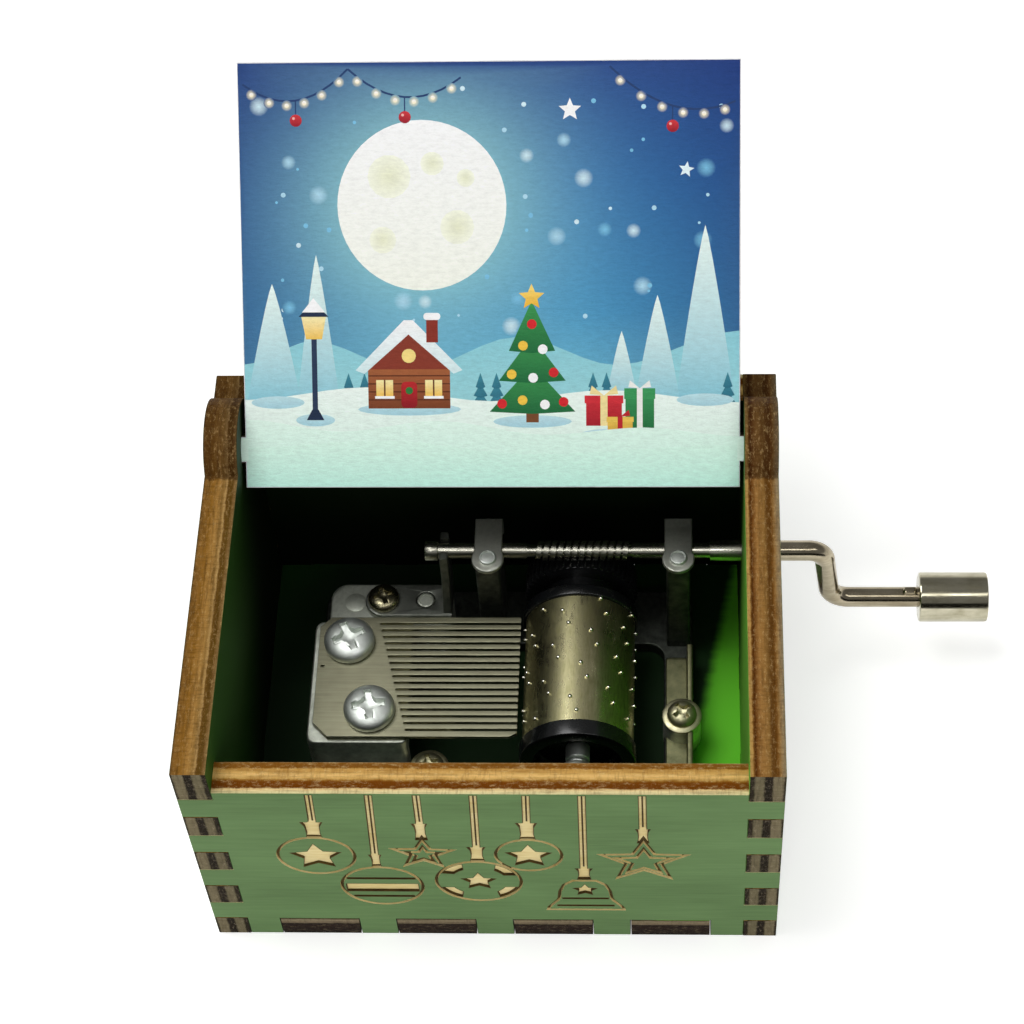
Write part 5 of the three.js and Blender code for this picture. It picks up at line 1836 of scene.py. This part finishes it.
@dataclass
class Comb:
    """The steel comb: eighteen reeds slit from one plate, with weights under the low ones."""

    left: float = -21.17
    plate_end: float = -10.27
    tip: float = 2.43
    slot: float = 0.29
    first_slot_start: float = -10.47
    last_slot_start: float = -14.17
    top: float = 13.9
    thickness: float = 0.9
    reed: float = 0.5
    weights: int = 8
    rear: float = COMB_FRONT + TONES * COMB_PITCH

    def outline(self, end: Outline) -> list[Point2]:
        """Outline of the plate, with the points of its end between its two cut corners."""
        return [(self.left, COMB_FRONT + 1.8), (self.left + 1.8, COMB_FRONT), *end,
                (self.left + 1.3, self.rear), (self.left, self.rear - 1.3)]

    def reeds(self) -> list[Point2]:
        """The reeds' tips and the slits between them, from front to rear."""
        points = [(self.tip - 0.9, COMB_FRONT), (self.tip, COMB_FRONT + 0.5)]
        for i in range(TONES - 1):
            y = COMB_FRONT + (i + 1) * COMB_PITCH
            start = self.first_slot_start + (self.last_slot_start - self.first_slot_start) * i / (TONES - 2)
            low, high = y - self.slot / 2, y + self.slot / 2
            slit = [(self.tip, low), (start + 0.12, low), (start, y), (start + 0.12, high)]
            points += [*slit, (self.tip, high)]
        return [*points, (self.tip, self.rear)]

    def build(self) -> None:
        """Makes the comb."""
        solid = Solid()
        holes = [box(-20.75, -20.3, 1.3, 1.62), *[circle(place, 1.55, 24) for place in COMB_SCREWS]]
        low = self.top - self.reed
        solid.prism(self.outline(self.reeds()), Plane.Z, low, self.top, 0.05, holes)
        plate = self.outline([(self.plate_end, COMB_FRONT), (self.plate_end, self.rear)])
        solid.prism(plate, Plane.Z, self.top - self.thickness, low + 0.02, 0.1, holes)
        for i in range(self.weights):
            high = self.rear - i * COMB_PITCH - self.slot / 2
            weight = box(-1.07, 1.53, high - COMB_PITCH + self.slot + 0.02, high - 0.02)
            solid.prism(weight, Plane.Z, low - 1.7 + 0.14 * i, low + 0.1, 0.05)
        solid.piece("Steel_comb", [Finishes.COMB_STEEL], Body.BOX, "comb_steel", "comb")


@dataclass
class Drum:
    """The pinned drum with its plastic end cap and its axle."""

    front: float = -8.7
    rear: float = 7.9
    radius: float = 6.4
    pin_radius: float = 0.24
    pin_height: float = 0.3
    pin_sunk: float = 0.12
    beats: int = 36

    def build(self) -> None:
        """Makes the drum's pieces."""
        r, low, high = self.radius, self.front, self.rear
        shell = [(r - 0.7, low), (r - 0.12, low), (r, low + 0.12), (r, high - 0.12), (r - 0.12, high),
                 (r - 0.7, high)]
        solid = Solid().turned(shell, Plane.Y, DRUM_AXIS, DRUM_SIDES)
        solid.piece("Drum_shell", [Finishes.DRUM_NICKEL], Body.DRUM, "drum_nickel", "drum_tube")
        self.pins()
        cap = [(AXLE_HOLE, -10.35), (1.22, -10.35), (1.22, -8.6), (1.65, -8.35), (4.7, -8.35), (5.0, -8.65),
               (5.0, -10.6), (5.15, -10.75), (6.5, -10.75), (6.7, -10.55), (6.7, -8.85), (6.55, -8.7),
               (5.6, -8.7), (5.6, -7.2), (AXLE_HOLE, -7.2)]
        solid = Solid().turned(cap, Plane.Y, DRUM_AXIS, DRUM_SIDES)
        solid.piece("Drum_end_cap", [Finishes.ACETAL], Body.DRUM, "black_plastic", "drum_end_cap")
        axle = [(0.0, -12.69), (0.65, -12.69), (0.75, -12.59), (0.75, -11.17), (1.15, -11.17), (1.3, -11.02),
                (1.3, -10.72), (1.15, -10.57), (0.75, -10.57), (0.75, 17.2), (0.65, 17.3), (0.0, 17.3)]
        bush = [(1.0, -10.45), (1.3, -10.45), (1.4, -10.35), (1.4, -8.6), (1.0, -8.6)]
        solid = Solid().turned(axle, Plane.Y, DRUM_AXIS, 32).turned(bush, Plane.Y, DRUM_AXIS, 32)
        solid.piece("Drum_axle", [Finishes.ZINC_PLATE], Body.DRUM, "bright_zinc", "drum_axle")

    def pins(self) -> None:
        """Sets the pins into the shell, two for each beat of the tune."""
        places, facings = [], []
        for i in range(2 * self.beats):
            beat, second = divmod(i, 2)
            tone = (beat * 5 + second * 7) % TONES
            turn = 2 * math.pi * (beat + second / 3) / self.beats
            facing = Vector((math.sin(turn), 0.0, math.cos(turn)))
            foot = Vector((DRUM_AXIS[0], COMB_FRONT + (tone + 0.5) * COMB_PITCH, DRUM_AXIS[1]))
            places.append(foot + facing * (self.radius + self.pin_height / 2 - self.pin_sunk))
            facings.append(facing)
        base = points_mesh("Drum_pins", places, "facing", facings)
        values = {"Pin radius": self.pin_radius, "Pin height": self.pin_height}
        grown(base, Trees.pins(), Finishes.PIN_STEEL, values, Part(Body.DRUM, "drum_nickel"))


@dataclass
class WormGear:
    """The worm on the crankshaft and the moulded wheel that it turns."""

    teeth: int = 48
    pitch: float = 0.84
    addendum: float = 0.19
    dedendum: float = 0.24
    backlash: float = 0.12
    flank_degrees: float = 20.0
    wheel_front: float = 11.8
    wheel_rear: float = 15.0
    stations: int = 7
    worm_tip: float = 1.15
    turns: float = 12.5
    axis: Point2 = (13.4, 20.1771)

    @property
    def wheel_pitch_radius(self) -> float:
        """Pitch radius of the wheel."""
        return self.teeth * self.pitch / (2 * math.pi)

    @property
    def worm_pitch_radius(self) -> float:
        """Pitch radius of the worm."""
        return self.worm_tip - self.addendum

    def width_at(self, height: float) -> float:
        """Half the width of a tooth at a height above the pitch line."""
        half = (self.pitch / 2 - self.backlash) / 2
        return half - height * math.tan(math.radians(self.flank_degrees))

    def build(self) -> None:
        """Makes the wheel's core, its teeth and the worm."""
        root = self.wheel_pitch_radius - self.dedendum
        core = [(AXLE_HOLE, 6.4), (5.6, 6.4), (5.6, 7.9), (6.55, 7.9), (6.7, 8.05), (6.7, 9.15),
                (6.55, 9.3), (4.5, 9.3), (4.2, 9.6), (4.2, 11.8), (root - 0.1, 11.8), (root, 11.9),
                (root, 14.9), (root - 0.1, 15.0), (3.2, 15.0), (3.0, 14.8), (3.0, 14.4), (AXLE_HOLE, 14.4)]
        solid = Solid().turned(core, Plane.Y, DRUM_AXIS, DRUM_SIDES)
        solid.piece("Worm_wheel", [Finishes.ACETAL], Body.DRUM, "black_plastic", "worm_wheel")
        turns = [(0.0, i * 2 * math.pi / self.teeth, 0.0) for i in range(self.teeth)]
        axis = (DRUM_AXIS[0], 0.0, DRUM_AXIS[1])
        tooth = self.tooth()
        base = points_mesh("Wheel_teeth", [axis] * self.teeth, "turn", turns)
        part = Part(Body.DRUM, "black_plastic")
        grown(base, Trees.copies(), Finishes.ACETAL, {"Master": tooth}, part)
        self.shaft()
        self.thread()

    def tooth(self) -> Object:
        """Makes one tooth about the wheel's axis, twisted at the worm's lead.

        Returns:
            The master tooth.
        """
        form = bmesh.new()
        radius = self.wheel_pitch_radius
        lead = self.pitch / (2 * math.pi * self.worm_pitch_radius)
        foot = -self.dedendum - 0.12
        rows = []
        for k in range(self.stations):
            y = self.wheel_front + (self.wheel_rear - self.wheel_front) * k / (self.stations - 1)
            highest = self.addendum - (0.06 if k in (0, self.stations - 1) else 0.0)
            row = []
            for side, lift in ((-1, foot), (-1, highest), (1, highest), (1, foot)):
                turn = side * self.width_at(lift) / radius + (y - self.axis[0]) * lead / radius
                reach = radius + lift
                row.append(form.verts.new((reach * math.sin(turn), y, reach * math.cos(turn))))
            rows.append(row)
        stitched(form, rows)
        for row in (rows[0], rows[-1]):
            form.faces.new(row)
        return Solid().take(form).master()

    def shaft(self) -> None:
        """Makes the crankshaft with its collar and the worm's core."""
        reach = (self.turns + 1) * self.pitch / 2 + 0.4
        core = self.worm_pitch_radius - self.dedendum
        low, high = DRUM_AXIS[0] - reach, DRUM_AXIS[0] + reach
        profile = [(0.0, -8.68), (1.08, -8.68), (1.15, -8.61), (1.15, -7.2), (1.08, -7.13), (0.9, -7.13),
                   (0.9, low - 0.18), (core, low), (core, high), (0.9, high + 0.18), (0.9, 24.6), (0.5, 24.6),
                   (0.5, 27.6), (0.0, 27.6)]
        solid = Solid().turned(profile, Plane.X, self.axis, 32)
        # The shaft takes the steel painted lighter as painted light
        solid.piece("Crankshaft", [Finishes.LIGHTER_SHAFT_STEEL], Body.CRANK, "nickel", "worm_shaft")

    def thread(self) -> None:
        """Winds the worm's thread about the shaft."""
        base = points_mesh("Worm_thread", [(0.0, 0.0, 0.0)], "turn", [(0.0, 0.0, 0.0)])
        depth = self.addendum + self.dedendum + 0.1
        root, tip = 2 * self.width_at(-self.dedendum - 0.1), 2 * self.width_at(self.addendum)
        values = {"Pitch": self.pitch, "Turns": self.turns, "Radius": self.worm_tip - depth / 2,
                  "Root width": root, "Tip width": tip, "Depth": depth}
        # The spiral's own X, Y and Z become the frame's Y, Z and X; it starts half a turn round
        onto_shaft = Matrix(((0, 0, 1, 0), (1, 0, 0, 0), (0, 1, 0, 0), (0, 0, 0, 1)))
        start = DRUM_AXIS[0] + (0.5 - self.turns / 2) * self.pitch
        place = Matrix.Translation((start, *self.axis)) @ onto_shaft @ Matrix.Rotation(math.pi, 4, "Z")
        part = Part(Body.CRANK, "nickel")
        # The thread takes the same lighter shaft steel, painted light
        grown(base, Trees.thread(), Finishes.LIGHTER_SHAFT_STEEL, values, part, place)


@dataclass
class Crank:
    """The bent crank rod and the barrel knob that spins on its end."""

    start: float = 24.6
    wall: float = 28.4
    bend_start: float = 36.0
    upper_bend: float = 2.0
    lower_bend: float = 2.5
    bend_degrees: float = 83.3
    bend_steps: int = 14
    grip_start: float = 41.17
    grip_end: float = 57.32
    radius: float = 1.21
    knob_start: float = 49.42
    knob_end: float = 57.52
    knob_radius: float = 2.95
    y: float = SHAFT_AXIS[0]
    z: float = SHAFT_AXIS[1]
    foot: float = SHAFT_AXIS[1] - 10.0

    def path(self) -> list[Vector]:
        """Centre line of the rod: a straight run, two bends and the run of the grip."""
        turns = [math.radians(self.bend_degrees) * k / self.bend_steps for k in range(self.bend_steps + 1)]
        r = self.upper_bend
        upper = [(self.bend_start + r * math.sin(t), self.z - r * (1 - math.cos(t))) for t in turns]
        r = self.lower_bend
        lower = [(self.grip_start - r * math.sin(t), self.foot + r * (1 - math.cos(t))) for t in turns[::-1]]
        runs = [(self.wall, self.z), *upper, *lower, (self.grip_end, self.foot)]
        return [Vector((x, self.y, z)) for x, z in runs]

    def build(self) -> None:
        """Makes the rod with its two staked ears and its riveted end, and the knob."""
        within = [Vector((x, self.y, self.z)) for x in (self.start, self.wall)]
        # The rod's run inside the box takes the lighter shaft steel, painted light
        solid = Solid().swept(self.path(), self.radius).swept(within, self.radius, finish=1)
        upper = [(47.47, 1.1), (47.75, 1.57), (49.0, 1.57), (49.27, 1.1)]
        ears = moved([(x, -z) for x, z in upper] + upper[::-1], (0.0, self.foot))
        solid.prism(softened(ears, 0.3), Plane.Y, self.y - 0.45, self.y + 0.45, 0.12)
        end = [(0.0, 56.62), (1.5, 56.62), (1.62, 56.74), (1.5, 57.1), (1.1, 57.28), (0.0, 57.32)]
        solid.turned(end, Plane.X, (self.y, self.foot), 28)
        finishes = Finishes.NICKEL_ROD, Finishes.LIGHTER_SHAFT_STEEL
        solid.piece("Crank_rod", finishes, Body.CRANK, "nickel", "crank_arm")
        low, high, r = self.knob_start, self.knob_end, self.knob_radius
        profile = [(1.26, low), (r - 0.25, low), (r - 0.07, low + 0.07), (r, low + 0.25), (r, high - 0.25),
                   (r - 0.07, high - 0.07), (r - 0.25, high), (1.76, high), (1.76, high - 1.1),
                   (1.26, high - 1.1)]
        knob = Solid().turned(profile, Plane.X, (self.y, self.foot), 72)
        knob.piece("Crank_knob", [Finishes.NICKEL_KNOB], Body.KNOB, "nickel", "crank_knob")


@dataclass
class BearingCaps:
    """The two strip-steel caps that hold the crankshaft in its posts."""

    rear: float = 16.9
    half_width: float = 1.625
    tab_radius: float = 1.87

    def build(self) -> None:
        """Makes both caps."""
        neck = math.degrees(math.acos(self.half_width / self.tab_radius))
        for side, x in CAP_PLACES.items():
            left, right = x - self.half_width, x + self.half_width
            tab = arc((x, RIVET_Y), self.tab_radius, 180 - neck, 360 + neck, 28)
            cap = [(right, self.rear), (left, self.rear), *tab]
            solid = Solid().prism(cap, Plane.Z, POST_TOP, CAP_TOP, 0.14)
            hook = box(self.rear - 0.6, self.rear, POST_TOP - 2.0, POST_TOP + 0.35)
            solid.prism(softened(hook, 0.15), Plane.X, left, right, 0.12)
            name = f"Bearing_cap_{side}"
            solid.piece(name, [Finishes.STRIP_STEEL], Body.BOX, "cap_steel", name.lower())


@dataclass
class ForkPlate:
    """The plate whose forked blade keeps the crankshaft in place."""

    foot_low: float = 11.2
    foot_high: float = FORK_TOP
    blade: Point2 = (-6.93, -5.93)
    half_depth: float = 2.2
    slot: float = 1.0
    prong: float = 1.9

    def build(self) -> None:
        """Makes the plate."""
        y0, y1 = FORK_SCREW[1] - self.half_depth, FORK_SCREW[1] + self.half_depth
        foot = [(self.blade[1], y0), (self.blade[1], y1), *arc(FORK_SCREW, self.half_depth, 90, 270, 24)]
        hole = circle(PEG, 1.12, 24)
        solid = Solid().prism(foot, Plane.Z, self.foot_low, self.foot_high, 0.14, [hole])
        (y, z), low = SHAFT_AXIS, self.foot_low + 0.1
        front, rear, neck, top = y - self.prong, y + self.prong, z - 3.0, z + 1.0
        groove = arc(SHAFT_AXIS, self.slot, 0, -180, 16)
        blade = [(y0, low), (y1, low), (rear, neck), (rear, top), (y + self.slot, top), *groove,
                 (y - self.slot, top), (front, top), (front, neck)]
        solid.prism(blade, Plane.X, *self.blade, 0.14)
        # The plate takes strip steel darkened as painted shade
        solid.piece("Fork_plate", [Finishes.SHADED_STRIP_STEEL], Body.BOX, "cast_frame", "fork_plate")


@dataclass
class Fasteners:
    """Copies of one fastener that stand on the box, in millimetres, each with its own turn in degrees."""

    name: str
    places: Sequence[Point2]
    seat: float
    turns: Sequence[float]
    finish: Finish
    slot: str
    nodes: Sequence[str]

    def master(self) -> Object:
        """Makes the fastener about Z, standing on the plane z = 0."""
        raise NotImplementedError

    def build(self) -> None:
        """Sets the copies in place."""
        master = self.master()
        spins = [(0.0, 0.0, math.radians(turn)) for turn in self.turns]
        base = points_mesh(self.name, [(*place, self.seat) for place in self.places], "turn", spins)
        part = Part(Body.BOX, self.slot, self.nodes)
        grown(base, Trees.copies(), self.finish, {"Master": master}, part)


@dataclass
class Rivets(Fasteners):
    """Rivets with a pressed ring round their end."""

    sides: int = 28

    def master(self) -> Object:
        """Makes the rivet."""
        profile = [(0.0, -1.0), (0.7, -1.0), (0.7, 0.0), (1.02, 0.0), (1.02, 0.22), (0.96, 0.34),
                   (0.86, 0.38), (0.76, 0.36), (0.7, 0.26), (0.62, 0.27), (0.0, 0.3)]
        return Solid().turned(profile, Plane.Z, (0.0, 0.0), self.sides).master()


@dataclass
class PanScrews(Fasteners):
    """Pan-head screws with a cross recess, with a flat flange under the dome where it has a radius."""

    radius: float = 1.0
    height: float = 1.0
    flange: float = 0.0
    sides: int = 48
    rings: int = 9

    def dome(self, place: Point2) -> float:
        """Height of the head at a place.

        Args:
            place: The place.

        Returns:
            The height.
        """
        side = 0.42 * self.height
        share = min(math.hypot(*place) / self.radius, 1.0)
        return side + (self.height - side) * max(1 - share**2.8, 0.0) ** 0.6

    def cross(self) -> list[Point2]:
        """Outline of the recess: four arms with blunt corners between them."""
        arm, half, corner = 0.68 * self.radius, 0.15 * self.radius, 0.25 * self.radius
        quarter = [(arm, -half), (arm, half), (corner + half * 0.4, half * 1.2), (corner, corner)]
        spins = [Matrix.Rotation(math.radians(90 * k), 2) for k in range(4)]
        return anticlockwise([tuple(spin @ Vector(point)) for spin in spins for point in quarter])

    def master(self) -> Object:
        """Makes the screw.

        Returns:
            The master screw.
        """
        radius, height, middle = self.radius, self.height, (0.0, 0.0)
        cross = self.cross()
        floor = shifted(cross, 0.07 * radius)
        reaches = [radius * math.sin(math.pi / 2 * k / self.rings) for k in range(1, self.rings)]
        loose = [point for reach in reaches for point in circle(middle, reach, self.sides)]
        clear = [p for p in loose if min(math.dist(p, q) for q in cross + floor) > 0.03 * radius]
        points, faces = divided([circle(middle, radius, self.sides), cross, floor], [*clear, middle])
        sunk = {i for face, over in faces if over == 2 for i in face}
        form = bmesh.new()
        corners = []
        for i, place in enumerate(points):
            depth = 0.55 * height * (1.0 - 0.5 * math.hypot(*place) / (0.68 * radius))
            corners.append(form.verts.new((*place, self.dome(place) - (depth if i in sunk else 0.0))))
        for face, _ in faces:
            form.faces.new([corners[i] for i in face])
        profile = [(radius, 0.42 * height), (radius, 0.08 * height), (0.97 * radius, 0.0)]
        if self.flange:
            rim = self.flange
            profile[1:] = [(radius, 0.34), (rim - 0.16, 0.3), (rim, 0.2), (rim, 0.0)]
        profile += [(0.42 * radius, 0.0), (0.42 * radius, -0.8 * height)]
        walls = [[form.verts.new((*p, level)) for p in circle(middle, r, self.sides)] for r, level in profile]
        stitched(form, walls)
        form.faces.new(walls[-1])
        return Solid().take(form).master()


# Studio


@dataclass(frozen=True)
class Lamp:
    """A soft rectangular lamp that faces the box, in metres and watts."""

    name: str
    place: Point3
    size: Point2
    watts: float
    glossy: bool = True
    diffuse: bool = True

    def build(self) -> None:
        """Hangs the lamp."""
        light = bpy.data.lights.new(self.name, "AREA")
        light.shape = "RECTANGLE"
        light.size, light.size_y = self.size
        light.energy = self.watts
        held = bpy.data.objects.new(self.name, light)
        held.visible_glossy = self.glossy
        held.visible_diffuse = self.diffuse
        held.location = self.place
        towards = Vector((0.0, 0.0, 0.02)) - Vector(self.place)
        held.rotation_euler = towards.to_track_quat("-Z", "Y").to_euler()
        bpy.context.scene.collection.objects.link(held)


@dataclass
class Studio:
    """Pale floor, soft light and the camera, in metres."""

    camera_place: Point3 = (0.020502, -0.159926, 0.281746)
    camera_turn: Point3 = (34.37557, 2.06627, 1.35144)
    lens: float = 94.6044
    shift: float = -0.045749
    floor_size: Point2 = (3.0, 3.0)
    flag_size: Point2 = (1.6, 0.22)
    fill_strength: float = 0.32
    room_strength: float = 0.22
    horizon: Point2 = (0.18, 0.42)
    lamps: tuple[Lamp, ...] = (
        Lamp("Overhead_softbox", (-0.25, 0.1, 0.75), (0.4, 0.4), 3.0),
        Lamp("Front_softbox", (0.12, -0.6, 0.42), (0.5, 0.3), 1.85, glossy=False),
        Lamp("Strip_softbox", (0.1, -0.3, 0.75), (0.9, 0.12), 1.1, diffuse=False),
    )

    def build(self) -> None:
        """Sets up the floor, the dark flag that only polished metal mirrors, the lamps and the camera."""
        self.card("Floor", self.floor_size, Matrix.Identity(4), Finishes.SWEEP)
        upright = Matrix.Translation((0.05, -0.45, 0.14)) @ Matrix.Rotation(math.radians(90), 4, "X")
        flag = self.card("Dark_flag", self.flag_size, upright, Finishes.FELT)
        flag.visible_camera = flag.visible_diffuse = flag.visible_shadow = False
        flag.visible_transmission = flag.visible_volume_scatter = False
        for lamp in self.lamps:
            lamp.build()
        self.world()
        self.camera()
        bpy.context.scene.view_settings.view_transform = "Standard"

    @staticmethod
    def card(name: str, size: Point2, place: Matrix, paper: Finish) -> Object:
        """Adds a flat card of the studio, in metres.

        Args:
            name: Its name.
            size: Its width and height.
            place: Where it stands.
            paper: Its finish.

        Returns:
            The card.
        """
        form = bmesh.new()
        bmesh.ops.create_grid(form, x_segments=1, y_segments=1, size=0.5)
        mesh = as_mesh(form, name)
        mesh.transform(place @ Matrix.Diagonal((*size, 1.0, 1.0)))
        mesh.materials.append(paper.material())
        made = linked(name, mesh)
        return made

    def world(self) -> None:
        """Makes a soft fill for the object, with white round the horizon and a dimmer room above."""
        world = bpy.data.worlds.new("Studio")
        bpy.context.scene.world = world
        world.use_nodes = True
        tree = world.node_tree
        tree.nodes.clear()
        towards = add_node(tree, "ShaderNodeTexCoord").outputs["Generated"]
        up = add_node(tree, "ShaderNodeSeparateXYZ", {0: towards}).outputs["Z"]
        links = {"Value": up, "From Min": self.horizon[0], "From Max": self.horizon[1], "To Min": 1.0,
                 "To Max": self.room_strength}
        height = add_node(tree, "ShaderNodeMapRange", links, interpolation_type="SMOOTHSTEP")
        fill = add_node(tree, "ShaderNodeBackground", {"Color": WHITE, "Strength": self.fill_strength})
        sight = add_node(tree, "ShaderNodeBackground", {"Color": WHITE, "Strength": height})
        seen = add_node(tree, "ShaderNodeMixShader", {0: looked_at(tree), 1: fill, 2: sight})
        add_node(tree, "ShaderNodeOutputWorld", {0: seen})

    def camera(self) -> None:
        """Sets the camera at the photograph's angle."""
        lens = bpy.data.cameras.new("Camera")
        lens.lens = self.lens
        lens.sensor_width = 36.0
        lens.sensor_fit = "HORIZONTAL"
        lens.shift_x = self.shift
        lens.clip_start = 0.01
        held = bpy.data.objects.new("Camera", lens)
        held.location = self.camera_place
        held.rotation_euler = [math.radians(a) for a in self.camera_turn]
        bpy.context.scene.collection.objects.link(held)
        bpy.context.scene.camera = held


def main() -> None:
    """Builds every sub-assembly in its order."""
    logging.basicConfig(level=logging.INFO, format="%(name)s: %(message)s", stream=sys.stdout)
    zinc, brass = Finishes.ZINC_PLATE, Finishes.DARK_BRASS
    for assembly in (
        PlywoodBox(), Lid(), CastFrame(), Comb(), Drum(), WormGear(), Crank(), BearingCaps(),
        Rivets("Cap_rivets", [(x, RIVET_Y) for x in CAP_PLACES.values()], CAP_TOP, (0.0, 0.0), zinc,
               "bright_zinc", ("cap_rivet_left", "cap_rivet_right")),
        ForkPlate(),
        PanScrews("Fork_plate_screw", [FORK_SCREW], FORK_TOP, (20.0,), brass, "dark_brass",
                  ("fork_plate_screw",), 1.85, 1.2),
        PanScrews("Comb_screws", COMB_SCREWS, 13.9, (25.0, 8.0), zinc, "bright_zinc",
                  ("comb_screw_rear", "comb_screw_front"), 2.95, 1.8),
        PanScrews("Frame_screws", FRAME_SCREWS, 9.0, (38.0, 15.0), Finishes.OILED_ZINC, "bright_zinc",
                  ("frame_screw_right", "frame_screw_left"), 1.72, 1.5, 2.3),
        Studio(),
    ):
        assembly.build()


if __name__ == "__main__":
    main()
